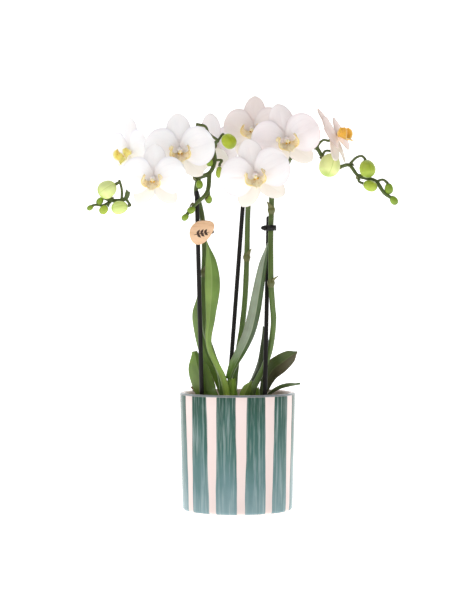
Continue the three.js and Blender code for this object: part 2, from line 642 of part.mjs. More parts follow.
// A clip is a band round a spike and its stake, with a finger tab.
function clip(first, second, height, tabTurn) {
  const outline = (grow) => {
    const a = new THREE.Vector2(...first);
    const b = new THREE.Vector2(...second);
    const way = Math.atan2(b.y - a.y, b.x - a.x);
    const points = [];
    for (const [centre, start, size] of [
      [b, way - Math.PI / 2, STAKE_RADIUS + grow],
      [a, way + Math.PI / 2, SPIKE_RADIUS + grow],
    ]) {
      for (let k = 0; k <= 5; k++) {
        const turn = start + (Math.PI * k) / 5;
        points.push(new THREE.Vector2(centre.x + size * Math.cos(turn), centre.y + size * Math.sin(turn)));
      }
    }
    return points;
  };
  const band = new THREE.Shape(outline(CLIP_GAP + CLIP_WALL));
  band.holes.push(new THREE.Path(outline(CLIP_GAP)));
  const ring = new THREE.ExtrudeGeometry(band, { depth: CLIP_HEIGHT, bevelEnabled: false });
  const reach = SPIKE_RADIUS + CLIP_GAP + CLIP_WALL / 2;
  const tab = new THREE.BoxGeometry(5, 1.4, CLIP_HEIGHT - 1.5).translate(reach + 2.5, 0, CLIP_HEIGHT / 2);
  tab.rotateZ(tabTurn).translate(first[0], first[1], 0);
  return join(ring, tab).translate([0, 0, height - CLIP_HEIGHT / 2]);
}
// Where a curve or a straight line through the points crosses a height
function atHeight(points, z) {
  const curve = new THREE.CatmullRomCurve3(points.map(v3));
  const steps = curve.getPoints(200);
  return steps.reduce((best, p) => (Math.abs(p.z - z) < Math.abs(best.z - z) ? p : best));
}
const clipHeights = { left: 252, centre: 284, right: 255.5 };
const tabTurns = { left: 0.2, centre: -0.4, right: 3.5 };
for (const [side, height] of Object.entries(clipHeights)) {
  const onSpike = atHeight(routes[side], height);
  const onStake = atHeight(stakes["stake_" + side], height);
  const body = clip([onSpike.x, onSpike.y], [onStake.x, onStake.y], height, tabTurns[side]);
  add("clip_" + side, body, "#2B2629", 0.45);
}

// The tag's outline: a pebble with its blunt corner at the upper right, in shares of its size
const tagArcs = [
  [-0.5, 0.25, -0.27, 0.49, 0.05, 0.49],
  [0.33, 0.5, 0.5, 0.44, 0.5, 0.26],
  [0.5, 0.08, 0.22, -0.45, -0.12, -0.48],
  [-0.35, -0.51, -0.5, -0.25, -0.5, -0.03],
];
const tagOutline = new THREE.Shape();
tagOutline.moveTo(-0.5 * TAG_SIZE, -0.03 * TAG_SIZE);
for (const arc of tagArcs) tagOutline.bezierCurveTo(...arc.map((share) => share * TAG_SIZE));
const tag = new THREE.ExtrudeGeometry(tagOutline, { depth: TAG_THICKNESS, bevelEnabled: false, curveSegments: 6 });
tag.rotateX(Math.PI / 2);
const behindTag = atHeight(stakes.stake_left, clipHeights.left);
const clipFront = behindTag.y - STAKE_RADIUS - CLIP_GAP - CLIP_WALL;
tag.translate(behindTag.x + 3.9, clipFront - 2 * CLEARANCE, clipHeights.left - 1);
add("tag", shape(solid(tag)), "#EBC8A4", 0.6);

export default plant;
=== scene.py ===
import math
import random
from functools import partial

import bmesh
import bpy
from bpy.props import FloatProperty, FloatVectorProperty, IntProperty, PointerProperty
from mathutils import Matrix, Vector, noise


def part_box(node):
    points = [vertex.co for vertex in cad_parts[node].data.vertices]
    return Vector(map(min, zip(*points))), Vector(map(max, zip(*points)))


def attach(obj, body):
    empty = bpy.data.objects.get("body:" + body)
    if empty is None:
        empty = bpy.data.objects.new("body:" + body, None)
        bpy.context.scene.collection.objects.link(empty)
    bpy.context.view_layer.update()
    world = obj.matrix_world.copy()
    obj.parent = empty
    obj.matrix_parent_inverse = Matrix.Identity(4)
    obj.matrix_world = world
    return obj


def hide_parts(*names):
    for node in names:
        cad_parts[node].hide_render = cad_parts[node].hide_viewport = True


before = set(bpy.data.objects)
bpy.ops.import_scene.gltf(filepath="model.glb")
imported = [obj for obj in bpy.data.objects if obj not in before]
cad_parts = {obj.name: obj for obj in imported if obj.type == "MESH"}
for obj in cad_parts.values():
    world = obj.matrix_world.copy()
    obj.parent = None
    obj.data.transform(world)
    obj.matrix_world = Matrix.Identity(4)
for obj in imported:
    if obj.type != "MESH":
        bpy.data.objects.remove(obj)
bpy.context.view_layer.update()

bl_info = {
    "name": "Potted Orchid",
    "version": (1, 0, 0),
    "blender": (4, 5, 0),
    "location": "3D View > Sidebar > Orchid",
    "description": "Builds a moth orchid in a striped cover pot over its solid model",
    "category": "Add Mesh",
}

MM = 0.001
# How close to its axis a turned profile starts and ends, in millimetres
AXIS = 0.01


def linear(hex_code):
    """An sRGB hex colour as a linear colour with alpha."""
    channels = [int(hex_code[i : i + 2], 16) / 255 for i in (1, 3, 5)]
    return tuple(c / 12.92 if c <= 0.04045 else ((c + 0.055) / 1.055) ** 2.4 for c in channels) + (1.0,)


# ---------------------------------------------------------------- the plant's lay-out
# Points are in millimetres in the solid model's frame, and follow its leaves, stalks and flowers.

# Each leaf: spine, width direction at its start and end, half widths, fold of the edges, and its
# colours on its left half, its right half, near its base and along the midrib. The two half colours are
# painted light and shade, a lit half and a shaded half, and leaf_tall_centre's grey left half is a painted
# reflection
LEAVES = {
    "leaf_tall_left": (
        [(-9, -8.5, 97), (-13.5, -9, 119), (-26, -12, 149), (-24.5, -12, 176), (-22.9, -11, 204),
         (-24, -9, 225), (-27.7, -7.5, 243)],
        [(0.7, -0.7, 0), (1, 0.1, 0)], [3.6, 3.6, 2.8, 4.6, 7, 5, 0.6], 0.3,
        ("#7F9A4E", "#6F8C42", "#8FB03E", "#93A866")),
    "leaf_back_left": (
        [(-10, 9, 94), (-17, 13, 118), (-28.5, 15, 139), (-35, 15.5, 163), (-37.5, 15, 178),
         (-36.4, 14, 193)],
        [(0.88, 0.47, 0), (1, 0, 0)], [3, 4.5, 4.8, 4.6, 3.6, 0.6], 0.35,
        ("#728D48", "#5E7A38", "#7C9A3C", "#8DA362")),
    "leaf_broad_left": (
        [(-15, -4, 92), (-22, -3.5, 99), (-28.5, -2, 106), (-33, -1, 118), (-36.4, -0.5, 130), (-39, 0, 144)],
        [(0.6, -0.6, 0.3), (0.95, 0, 0.3)], [3.5, 7.4, 10.4, 10.4, 8.6, 2.4], 0.2,
        ("#6F8C3C", "#627F33", "#5C7A2C", "#86A054")),
    "leaf_low_left": (
        [(-12, 8.5, 88), (-24, 9, 93.5), (-35, 10, 103), (-41.8, 9, 111.5)],
        [(0, -1, 0), (0, -1, 0)], [2, 3.2, 3, 0.6], 0.3, ("#8A6F45", "#7C5F3B", "#6E5236", "#9C8350")),
    "leaf_tall_centre": (
        [(-7.8, -2.8, 119), (-3, -7, 131), (2, -10, 140.5), (10.9, -12, 159.5), (15.4, -13, 176.7),
         (19, -13, 197.5), (23.2, -12, 222.9), (27.2, -11, 241.9)],
        [(0.8, 0.4, 0), (1, 0.2, 0)], [3, 4.6, 5.2, 5.8, 5.8, 5.2, 3.6, 0.5], 0.45,
        ("#8E9A84", "#3E5629", "#5E8030", "#B4BE9C")),
    "leaf_dark_centre": (
        [(3, 4.5, 97), (8, 9.5, 109), (15.5, 16, 120), (22.5, 17.5, 134), (25, 17.5, 149), (23.5, 17, 166)],
        [(0.3, -0.8, 0.2), (1, 0, 0.1)], [3, 4.6, 5.4, 5.2, 4.2, 0.6], 0.3,
        ("#3A4826", "#2E3F1B", "#463A2C", "#4F5E36")),
    "leaf_broad_right": (
        [(21.5, 10, 97), (25, 11, 110), (31, 10, 125), (40.5, 5, 133.5), (48.9, 1, 140), (54, -1, 143.5)],
        [(-0.7, 0.5, 0.2), (-0.64, 0, 0.76)], [3, 4.8, 8.2, 8.2, 5.6, 0.8], 0.15,
        ("#565233", "#4B5A2A", "#46512A", "#6A7346")),
    "leaf_low_right": (
        [(23.5, -3.3, 97), (30, -4.8, 106), (38, -6.5, 111), (47, -8, 113.6), (56.5, -8.5, 115.4)],
        [(0, 1, 0), (0, 1, 0)], [3, 4.2, 4.6, 3.8, 0.5], 0.4, ("#4B6130", "#3D5224", "#5B6A38", "#6C8248")),
    "leaf_small_front": (
        [(4, -10.5, 92.5), (5, -14, 101), (8.5, -17, 111), (13, -19, 118)],
        [(0.8, -0.2, 0), (1, 0, -0.3)], [2.8, 4.4, 4, 0.6], 0.3,
        ("#7F9A42", "#6F8C3A", "#A2B860", "#A4B670")),
}

CROWNS = {"crown_left": ((-5.5, 0), 6, 120), "crown_right": ((16.5, 2), 5, 111)}

# Each flower: centre, degrees from the front towards +X, degrees upwards, roll and scale
FLOWERS = {
    "flower_1": ((-97.5, 2, 323.5), -52, -8, 3, 0.95),
    "flower_2": ((-73.8, -46, 297.8), -10, -4, 0, 0.95),
    "flower_3": ((-51.6, -24, 323.6), 4, -3, 3, 1.03),
    "flower_4": ((-22.2, 50, 330), 148, 0, 0, 0.97),
    "flower_5": ((14.8, 16, 345), -18, 0, 2, 0.95),
    "flower_6": ((43.8, -24, 332.9), 6, -2, 13.5, 1.03),
    "flower_7": ((16.5, -44, 300.5), -4, -3, 15, 1.03),
    "flower_8": ((89.6, -5, 337.5), 70, 24, 0, 0.94),
}

# Each flower's white, and its colour towards the edges of its petals, as painted light and shade: the
# flowers at the back and to the right, out of the light, have darker, warmer whites; the others are like
# flower_2
LIT_AND_SHADED_WHITES = {"flower_4": ("#F3EEF2", "#DED8E0"), "flower_5": ("#F3E9E8", "#DECFCF"),
          "flower_6": ("#F7EFF1", "#E4D6DB"), "flower_7": ("#F9F3F4", "#E6DCE1"),
          "flower_8": ("#ECD8D1", "#CFB0A6")}
# Each lip's cream and its edge; the others are like flower_2
CREAMS = {"flower_1": ("#F7EC8A", "#FAF6E6"), "flower_8": ("#F2B84A", "#F0CFA0")}

# Each bud: centre, half length, half width and the direction of its tip
BUDS = {
    "bud_left_1": ((-116.7, -19, 289.8), 8.6, 7.7, (-0.8, -0.2, -0.5)),
    "bud_left_2": ((-105.7, -16, 273.6), 7.3, 5.8, (-0.95, 0, -0.2)),
    "bud_left_3": ((-119.9, -17, 271.6), 4.4, 3.6, (-0.6, 0, -0.6)),
    "bud_centre": ((-7.9, -2, 333.8), 7.3, 6.2, (0.5, -0.3, -0.6)),
    "bud_hanging": ((-16.7, 0, 306), 5.2, 2.8, (-0.1, 0, -1)),
    "bud_right_1": ((83.4, 1, 312.4), 10.6, 9.2, (-0.25, -0.2, -0.9)),
    "bud_right_2": ((116.9, -7.5, 308.8), 8, 7, (0.2, -0.3, -0.9)),
    "bud_right_3": ((119.5, -7, 293.4), 6.4, 4.8, (0.9, 0, -0.3)),
}

# Each bud's colour on its cheeks and at its ends, its lit and its shaded colour painted on as light and
# shade; the others are like bud_right_2
LIT_AND_SHADED_LIMES = {"bud_left_1": ("#E0EC9C", "#B0C750"), "bud_left_2": ("#D3E388", "#A5BF45"),
         "bud_centre": ("#B5C52B", "#8FA31C"), "bud_right_1": ("#E6EDA0", "#9DBB3E")}

LEAF_THICKNESS, PETAL_THICKNESS = 1.8, 1.0
# A flower's sizes before its scale, its petals' rise from level and its lower sepals' spread from straight
# down in degrees, and where its sepals, its column and the hub behind it start along its axis
PETAL_LENGTH, PETAL_WIDTH = 31, 34
SEPAL_LENGTH, SEPAL_WIDTH = 33, 22
LOWER_SEPAL_LENGTH, LOWER_SEPAL_WIDTH = 29, 19
PETAL_RISE, LOWER_SEPAL_SPREAD = 14, 41
SEPAL_BASE, COLUMN_BACK = -3.4, 1.0
HUB_BACK = SEPAL_BASE - 1.1


def flower_matrix(name):
    """The flower's own frame in the plant: +Y to its top sepal and +Z outwards, in millimetres."""
    at, turn, rise, roll, scale = FLOWERS[name]
    a, e = math.radians(turn), math.radians(rise)
    out = Vector((math.sin(a) * math.cos(e), -math.cos(a) * math.cos(e), math.sin(e)))
    right = Vector((math.cos(a), math.sin(a), 0))
    basis = Matrix((right, out.cross(right), out)).transposed().to_4x4()
    rolled = Matrix.Translation(at) @ basis @ Matrix.Rotation(math.radians(roll), 4, "Z")
    return rolled @ Matrix.Scale(scale, 4)


def behind(name, reach=0.0):
    """A point behind the flower's hub, where its stalk comes from."""
    return tuple(flower_matrix(name) @ Vector((0, 0, HUB_BACK - 0.2 - reach)))


def stalk_end(name, reach=0.0):
    """A point on a bud's axis behind its base."""
    at, long, _wide, tip = BUDS[name]
    return tuple(Vector(at) - Vector(tip).normalized() * (long + 0.2 + reach))


# Radii of a spike's stem, its branches, and the stalks of its flowers and buds
STEM, BRANCH, STALK = 2.7, 1.9, 1.15
# Where the left spike's side branches leave it, and the way each stem takes up to its first branch
FORK = (-36.9, -1, 300.8)
ROUTES = {
    "left": [(-14.5, 3.2, 92), (-14.6, 3.4, 118), (-22, 2, 140), (-29, 0, 163), (-30.8, 0, 190),
             (-29.9, 0, 239), (-32.3, 0, 267), (-37.5, 0, 288.5)],
    "centre": [(-3, 12.5, 92), (-2.8, 13, 110), (-1.5, 15, 127), (1, 16.5, 145), (4, 18, 164), (6.8, 18, 191),
               (8.6, 16, 231), (9.2, 14.8, 262), (10, 12, 284)],
    "right": [(14.5, -8.5, 93), (14.2, -7.5, 109), (22.6, -3.5, 126.9), (28, -1.5, 140.5), (30.8, -2, 153.2),
              (32.6, -3.5, 172.2), (31.7, -5.2, 184.8), (30.3, -6.8, 205.7), (30, -4, 246.8),
              (30.6, -3, 271.7), (31, -3, 287)],
}
# Each spike: its stem, branches, flower and bud stalks, joints on the stem and tiny buds at the tips
SPIKES = {
    "spike_left": {
        "stem": ROUTES["left"],
        "branches": [
            [*ROUTES["left"][-2:], FORK, (-51.1, -6, 309), (-65, -7, 314), (-77.5, -7, 315), (-81, -13, 308),
             (-87, -18, 300), (-97.5, -15, 291), (-100.6, -12, 281.8)],
            [(-97.5, -15, 291), (-100.6, -12, 281.8), (-113, -12, 280), (-121.5, -12, 283)],
            [FORK, (-25.4, 0, 305.2), (-20.4, 2, 316.7), (-22, 3, 329.8), (-17.5, 0, 334.5)],
            [(-25.4, 0, 305.2), (-26.4, -4, 291), (-29, -8, 285), (-39, -11, 275.4), (-46.5, -11.6, 266)],
        ],
        "stalks": [
            [(-121.5, -12, 283), (-123.3, -12.4, 281)],
            [(-113, -12, 280), (-121, -13, 275.6), (-128, -14, 276), (-131.5, -14, 274.5)],
            [(-104, -12, 281.4), (-104, -13, 290), (-106, -15, 297.6), stalk_end("bud_left_1", 4),
             stalk_end("bud_left_1")],
            [(-100.6, -12, 281.8), (-97, -13, 277), stalk_end("bud_left_2", 2), stalk_end("bud_left_2")],
            [(-113, -12, 280), (-115.5, -13.5, 277.2), stalk_end("bud_left_3", 1), stalk_end("bud_left_3")],
            [(-77.5, -7, 315), (-82, -3, 322), behind("flower_1", 7), behind("flower_1")],
            [(-65, -7, 314), (-72, -14, 312), (-74.5, -28, 302), behind("flower_2", 6), behind("flower_2")],
            [(-51.1, -6, 309), (-50, -9, 317), behind("flower_3", 6), behind("flower_3")],
            [(-22, 3, 329.8), (-17.5, 0, 334.5), stalk_end("bud_centre", 1.5), stalk_end("bud_centre")],
            [(-22, 3, 329.8), (-26, 18, 334), behind("flower_4", 8), behind("flower_4")],
            [(-17.5, 0, 334.5), (-26, -1, 341), (-29, -2, 347), (-37.5, -3, 349)],
            [(-20.4, 2, 316.7), (-14, 1, 316.5), stalk_end("bud_hanging", 2), stalk_end("bud_hanging")],
            [(-20.6, 2, 315), (-24.9, -1, 317.5)],
            [(-26.4, -4, 291), (-25.8, -4.5, 287), (-26, -5, 284)],
            [(-36.5, -1, 301.5), (-34.4, -5, 299.5), (-34.2, -6.4, 297)],
        ],
        "joints": [((-30.3, 0, 215), (0.4, -0.5, 0.9))],
        "tips": [
            ((-123.6, -13, 279.4), (-0.6, -0.2, -0.8), 3.8), ((-132.3, -14, 273.5), (-0.8, 0, -0.5), 3),
            ((-25.3, -1, 315), (0.1, 0, -0.9), 4), ((-26, -5, 281.5), (0.1, 0, -1), 4),
            ((-41.5, -11.4, 271.5), (-0.9, 0, -0.6), 4), ((-47, -11.8, 265), (-0.8, 0, -0.8), 3.6),
            ((-34.2, -6.5, 294.6), (0, -0.2, -1), 4),
        ],
    },
    "spike_centre": {
        "stem": ROUTES["centre"],
        "branches": [
            [*ROUTES["centre"][-2:], (13, 9, 300), (18, 13, 318), (23, 24, 331), behind("flower_5", 7),
             behind("flower_5", 1)],
        ],
        "stalks": [
            [behind("flower_5", 5), behind("flower_5")],
            [(13, 9, 300), (16, -8, 305), (17.5, -26, 304), behind("flower_7", 6), behind("flower_7")],
        ],
        "joints": [((8.5, 16.2, 229), (0.5, -0.5, 0.9))],
        "tips": [],
    },
    "spike_right": {
        "stem": ROUTES["right"],
        "branches": [
            [*ROUTES["right"][-2:], (36.2, -2, 300.7), (44.3, 0, 315), (57, 4, 324), (71.1, 7, 328.2),
             (76.9, 11, 321), (84, 15.5, 316), (93, 14.5, 311.8), (101.4, 5, 312.4), (109.3, -1, 302.5),
             (118, -2, 300.2)],
            [(109.3, -1, 302.5), (118, -2, 300.2), (125.3, -2, 297.3), (132.5, -2, 287.2),
             (139.2, -2, 282.4)],
        ],
        "stalks": [
            [(44.3, 0, 315), (46.5, -7, 325), behind("flower_6", 6), behind("flower_6")],
            [(71.6, 7.6, 326.5), (73, 6, 330.5), (77.5, 3, 335), behind("flower_8", 4), behind("flower_8")],
            [(76.9, 11, 321), (80, 7, 325.5), stalk_end("bud_right_1", 1.5), stalk_end("bud_right_1")],
            [(101.4, 5, 312.8), (107, 0, 318.8), (112, -4, 320.3), stalk_end("bud_right_2", 1.5),
             stalk_end("bud_right_2")],
            [(109.3, -1, 302.5), (109.5, -5, 297.5), stalk_end("bud_right_3", 1), stalk_end("bud_right_3")],
            [(125.3, -2, 297.3), (131.5, -2, 299), (136, -2, 295.5)],
        ],
        "joints": [((30.3, -6.8, 205.7), (0.8, -0.3, 0.8)), ((30.6, -3, 271.7), (-0.5, -0.6, 0.9))],
        "tips": [((136.7, -2, 291), (0.1, 0, -1), 5), ((141.2, -2, 280.4), (0.6, 0, -0.8), 4.4)],
    },
}

# Level of the bark, radius of a root, and the room it leaves for the chips under it
BARK_TOP, ROOT, CHIP_ROOM = 82.6, 2.4, 3.4
ROOT_LINE = BARK_TOP + ROOT + CHIP_ROOM
# Turn from one bark chip to the next, which spreads them evenly
GOLDEN_TURN = 2.39996
ROOTS = {
    "root_left": [(-8.5, -9.5, ROOT_LINE + 2), (-15, -17, ROOT_LINE + 1.5), (-25, -23, ROOT_LINE)],
    "root_front": [(-2.5, -9.5, ROOT_LINE + 3), (-4, -19, ROOT_LINE + 2), (-8, -30, ROOT_LINE)],
    "root_back": [(6, 9, ROOT_LINE + 4), (14, 18, ROOT_LINE + 3), (24, 24, ROOT_LINE)],
}
# Each stake: where it enters the bark, and its top
STAKES = {
    "left": ((-31.7, -8, BARK_TOP), (-36.8, -5.3, 289)),
    "centre": ((-9.6, 18, BARK_TOP), (5.9, 18.8, 290)),
    "right": ((24.2, -13, BARK_TOP), (28.1, 3.5, 266)),
}
# A stake's radius and how deep it stands in the bark
STAKE, STAKE_SEAT = 2.0, 48
# Each clip: its height, and the turn of its finger tab
CLIPS = {"left": (252, 0.2), "centre": (284, -0.4), "right": (255.5, 3.5)}
CLIP_HEIGHT, CLIP_GAP, CLIP_WALL = 5, 0.9, 1.4

# How much narrower the cover pot's foot is than its rim, its floor's thickness, and its foot's rounding
POT_TAPER, POT_FLOOR, POT_HEEL = 2.5, 6.0, 3.4

# The tag's outline as Bezier arcs over its width, and its sprig: where the stalk starts, how steeply it
# rises, and each leaf's place along it, turn and length
TAG_ARCS = [
    ((-0.5, -0.03), (-0.5, 0.25), (-0.27, 0.49), (0.05, 0.49)),
    ((0.05, 0.49), (0.33, 0.5), (0.5, 0.44), (0.5, 0.26)),
    ((0.5, 0.26), (0.5, 0.08), (0.22, -0.45), (-0.12, -0.48)),
    ((-0.12, -0.48), (-0.35, -0.51), (-0.5, -0.25), (-0.5, -0.03)),
]
SPRIG_START, SPRIG_RISE = (-7, -2.0), 0.18
SPRIG_LEAVES = [(-4.6, 1.0, 5), (-4.2, -0.7, 4.4), (-1.2, 1.0, 4.8), (-0.8, -0.7, 4), (2.2, 1.0, 4.2),
                (2.6, -0.6, 3.4)]

# The camera's lens and sensor width in millimetres, and how far it looks down in degrees
CAMERA_LENS, CAMERA_SENSOR, CAMERA_TILT = 132.6, 36, 1.166


# ---------------------------------------------------------------- settings
def length(name, description, default, low=0.0, high=0.5):
    """A length in metres that a user can change."""
    return FloatProperty(name=name, description=description, default=default, min=low, max=high,
                         unit="LENGTH", subtype="DISTANCE")


def colour(name, description, hex_code):
    """A colour that a user can change."""
    return FloatVectorProperty(name=name, description=description, default=linear(hex_code)[:3], size=3,
                               min=0.0, max=1.0, subtype="COLOR")


class OrchidPotSettings(bpy.types.PropertyGroup):
    wall: length("Wall", "Thickness of the cover pot's wall", 0.004, 0.001, 0.02)
    stripes: IntProperty(name="Stripes", description="Painted stripes round the cover pot", default=12, min=1,
                         max=60)
    stripe_width: length("Stripe width", "Width of one painted stripe at the rim", 0.0178, 0.001, 0.1)
    glaze: colour("Glaze", "Body colour of the cover pot", "#F5E5E0")
    chips: IntProperty(name="Bark chips", description="Chips that lie on top of the bark mix", default=210,
                       min=0, max=2000)


class OrchidPlantSettings(bpy.types.PropertyGroup):
    stalk_dark: colour("Young stalk", "Colour of the upper stalks", "#4A5A22")
    stalk_light: colour("Old stalk", "Colour of the lower spikes", "#5D7833")
    seed: IntProperty(name="Seed", description="Changes the small irregularities", default=7, min=0)


class OrchidFlowerSettings(bpy.types.PropertyGroup):
    petal_base: colour("Petal base", "Colour near the middle of the flower", "#F1E6E0")
    sepal: colour("Lower sepal", "Colour of the sepals behind, in their shade", "#E2DCCE")
    lip_yellow: colour("Lip yellow", "Colour of the heart of the lip", "#E9B93C")
    lip_fleck: colour("Lip flecks", "Colour of the flecks on the lip", "#8C3A3C")


class OrchidStageSettings(bpy.types.PropertyGroup):
    distance: FloatProperty(name="Camera distance", description="From the pot's axis to the camera",
                            default=2.0, min=0.5, max=10.0, unit="LENGTH", subtype="DISTANCE")
    height: length("Camera height", "Above the surface the pot stands on", 0.231, 0.0, 3.0)
    key: FloatProperty(name="Key light", description="Power of the key light", default=7.0, min=0.0,
                       unit="POWER")


# ---------------------------------------------------------------- shapes
def solid_box(node):
    """The lowest and highest corners of a solid, in millimetres."""
    return (tuple(c / MM for c in corner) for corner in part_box(node))


def ray(degrees):
    """Directions in a flower's face: outwards at an angle from its right, and square to that."""
    turn = math.radians(degrees)
    return Vector((math.cos(turn), math.sin(turn), 0)), Vector((-math.sin(turn), math.cos(turn), 0))


def smooth_route(points):
    """A centripetal Catmull-Rom curve through the points, as a function of 0..1."""
    p = [Vector(q) for q in points]
    p = [2 * p[0] - p[1], *p, 2 * p[-1] - p[-2]]

    def at(u):
        place = min(max(u, 0.0), 1.0) * (len(p) - 3)
        i = min(int(place), len(p) - 4)
        a, b, c, d = p[i : i + 4]
        knots = [0.0]
        for q, r in ((a, b), (b, c), (c, d)):
            knots.append(knots[-1] + max((r - q).length, 1e-9) ** 0.5)
        t = knots[1] + (place - i) * (knots[2] - knots[1])

        def mix(q, r, j, k):
            return ((knots[k] - t) * q + (t - knots[j]) * r) / (knots[k] - knots[j])

        ab, bc, cd = mix(a, b, 0, 1), mix(b, c, 1, 2), mix(c, d, 2, 3)
        return mix(mix(ab, bc, 0, 2), mix(bc, cd, 1, 3), 1, 2)

    return at


def at_height(points, z):
    """The point where a route crosses a height, worked at its level."""
    curve = smooth_route(points)
    nearest = min((curve(i / 400) for i in range(401)), key=lambda p: abs(p.z - z))
    return Vector((nearest.x, nearest.y, z))


def eased(values):
    """A smooth function of 0..1 through evenly spaced values, never below zero."""
    def at(u):
        place = min(max(u, 0.0), 1.0) * (len(values) - 1)
        i = min(int(place), len(values) - 2)
        t = place - i
        before, here = values[max(i - 1, 0)], values[i]
        there, after = values[i + 1], values[min(i + 2, len(values) - 1)]
        m0, m1 = (there - before) / 2, (after - here) / 2
        h = 2 * t**3 - 3 * t**2 + 1, t**3 - 2 * t**2 + t, -2 * t**3 + 3 * t**2, t**3 - t**2
        return max(0.0, h[0] * here + h[1] * m0 + h[2] * there + h[3] * m1)

    return at


class Skin:
    """Collects sections into one mesh. Each point keeps where it lies across and along its piece
    (the map "route"), and a number of its own (the attribute "tone")."""

    def __init__(self):
        self.points, self.faces, self.route, self.tone, self.slots = [], [], [], [], []

    def loft(self, sections, across=None, tone=0.0, slot=0, close=True, caps=True, along=None):
        """Joins sections of equally many points, in millimetres, into one skin."""
        first, count, rows = len(self.points), len(sections[0]), len(sections)
        for i, section in enumerate(sections):
            b = i / (rows - 1) if along is None else along[i]
            for j, p in enumerate(section):
                self.points.append(p * MM)
                self.route.append((0.5 if across is None else across[j], b))
                self.tone.append(tone[j] if isinstance(tone, list) else tone)
        for i in range(rows - 1):
            for j in range(count if close else count - 1):
                a, b = first + i * count + j, first + i * count + (j + 1) % count
                self.face((a, b, b + count, a + count), slot)
        if caps:
            self.face(tuple(range(first + count - 1, first - 1, -1)), slot)
            last = first + (rows - 1) * count
            self.face(tuple(range(last, last + count)), slot)

    def face(self, corners, slot):
        """Adds a face in a material slot."""
        self.faces.append(corners)
        self.slots.append(slot)

    def blade(self, spine, across, half, fold=0.0, thick=1.0, rows=40, cols=12, wave=None, into=None,
              tone=None, slot=0, thin=0.6, ease=False):
        """A leaf, petal or lobe: a thin blade along a spine, with its upper skin first."""
        curve = smooth_route(spine)
        width = half if callable(half) else eased(half)
        start, end = Vector(across[0]), Vector(across[1])
        sections, along = [], []
        for i in range(rows + 1):
            u = i / rows
            u = math.sin(u * math.pi / 2) if ease else u
            forward = (curve(min(u + 0.002, 1)) - curve(max(u - 0.002, 0))).normalized()
            side = start.lerp(end, u)
            side = (side - side.dot(forward) * forward).normalized()
            up = forward.cross(side)
            upper, lower = [], []
            for j in range(cols + 1):
                v = math.sin((2 * j / cols - 1) * math.pi / 2) * 0.5 + (2 * j / cols - 1) * 0.5
                h = width(u)
                middle = curve(u) + side * h * v + up * (fold * h * v * v)
                if wave:
                    middle += up * wave(u, v)
                skin = thick / 2 * (1 - thin * abs(v) ** 3)
                upper.append(middle + up * skin)
                lower.insert(0, middle - up * skin)
            section = upper + lower
            sections.append([into @ p for p in section] if into else section)
            along.append(u)
        steps = [j / cols for j in range(cols + 1)]
        sides = [1.0] * (cols + 1) + [0.0] * (cols + 1)
        self.loft(sections, steps + steps[::-1], tone=sides if tone is None else tone, slot=slot, along=along)

    def tube(self, points, radius, sides=14, spacing=1.6, tone=0.0, slot=0, knobs=0.0, seed=0):
        """A round stalk along the points. radius is a number or a function of 0..1."""
        curve = smooth_route(points)
        rough = [curve(i / 60) for i in range(61)]
        size = sum((b - a).length for a, b in zip(rough, rough[1:]))
        rows = max(4, math.ceil(size / spacing))
        forward = (curve(0.01) - curve(0)).normalized()
        side = forward.orthogonal().normalized()
        sections, along = [], []
        for i in range(rows + 1):
            u = i / rows
            here = (curve(min(u + 0.005, 1)) - curve(max(u - 0.005, 0))).normalized()
            side = forward.rotation_difference(here) @ side
            side = (side - side.dot(here) * here).normalized()
            forward = here
            other = forward.cross(side)
            r = radius(u) if callable(radius) else radius
            r *= 1 + knobs * noise.noise(Vector((u * size / 9, seed, 0)))
            ring = [2 * math.pi * k / sides for k in range(sides)]
            sections.append([curve(u) + (side * math.cos(t) + other * math.sin(t)) * r for t in ring])
            along.append(u * size / 100)
        self.loft(sections, tone=tone, slot=slot, along=along)

    def turned(self, profile, sides=96, centre=(0, 0), tone=0.0, slot=0, caps=False):
        """A lathe round a vertical axis, from (radius, height) pairs."""
        sections = []
        for r, z in profile:
            ring = [2 * math.pi * k / sides for k in range(sides)]
            sections.append([Vector((centre[0] + r * math.cos(t), centre[1] + r * math.sin(t), z))
                             for t in ring])
        self.loft(sections, tone=tone, slot=slot, caps=caps)

    def bud(self, at, long, wide, tip, tone=0.0, slot=0, rows=26, cols=36):
        """A flower bud: an egg with three seams and a blunt tip."""
        axis = Vector(tip).normalized()
        side = axis.orthogonal().normalized()
        other = axis.cross(side)
        sections = []
        for i in range(rows + 1):
            t = math.pi * (i + 0.15) / (rows + 0.3)
            reach = -math.cos(t) * long
            ring = []
            for k in range(cols):
                a = 2 * math.pi * k / cols
                seam = abs(math.cos(1.5 * a)) ** 0.22
                body = math.sin(t) ** 0.82 * (1 - 0.1 * math.cos(t + 0.5))
                uneven = 1 + 0.02 * noise.noise(Vector((a, reach / 3, wide)))
                r = wide * body * (0.945 + 0.055 * seam) * uneven
                ring.append(Vector(at) + axis * reach * (1 + 0.04 * (i / rows) ** 6)
                            + (side * math.cos(a) + other * math.sin(a)) * r)
            sections.append(ring)
        across = [abs(math.cos(1.5 * 2 * math.pi * k / cols)) for k in range(cols)]
        self.loft(sections, across=across, tone=tone, slot=slot)

    def build(self, name, materials, smooth=True):
        """Turns what is collected into an object in the scene."""
        mesh = bpy.data.meshes.new(name)
        mesh.from_pydata([tuple(p) for p in self.points], [], self.faces)
        uv = mesh.uv_layers.new(name="route")
        for loop in mesh.loops:
            uv.data[loop.index].uv = self.route[loop.vertex_index]
        tone = mesh.attributes.new("tone", "FLOAT", "POINT")
        tone.data.foreach_set("value", self.tone)
        for material in materials:
            mesh.materials.append(material)
        mesh.polygons.foreach_set("material_index", self.slots)
        bm = bmesh.new()
        bm.from_mesh(mesh)
        bmesh.ops.recalc_face_normals(bm, faces=bm.faces)
        bm.to_mesh(mesh)
        bm.free()
        mesh.polygons.foreach_set("use_smooth", [smooth] * len(mesh.polygons))
        piece = bpy.data.objects.new(name, mesh)
        bpy.context.scene.collection.objects.link(piece)
        return piece


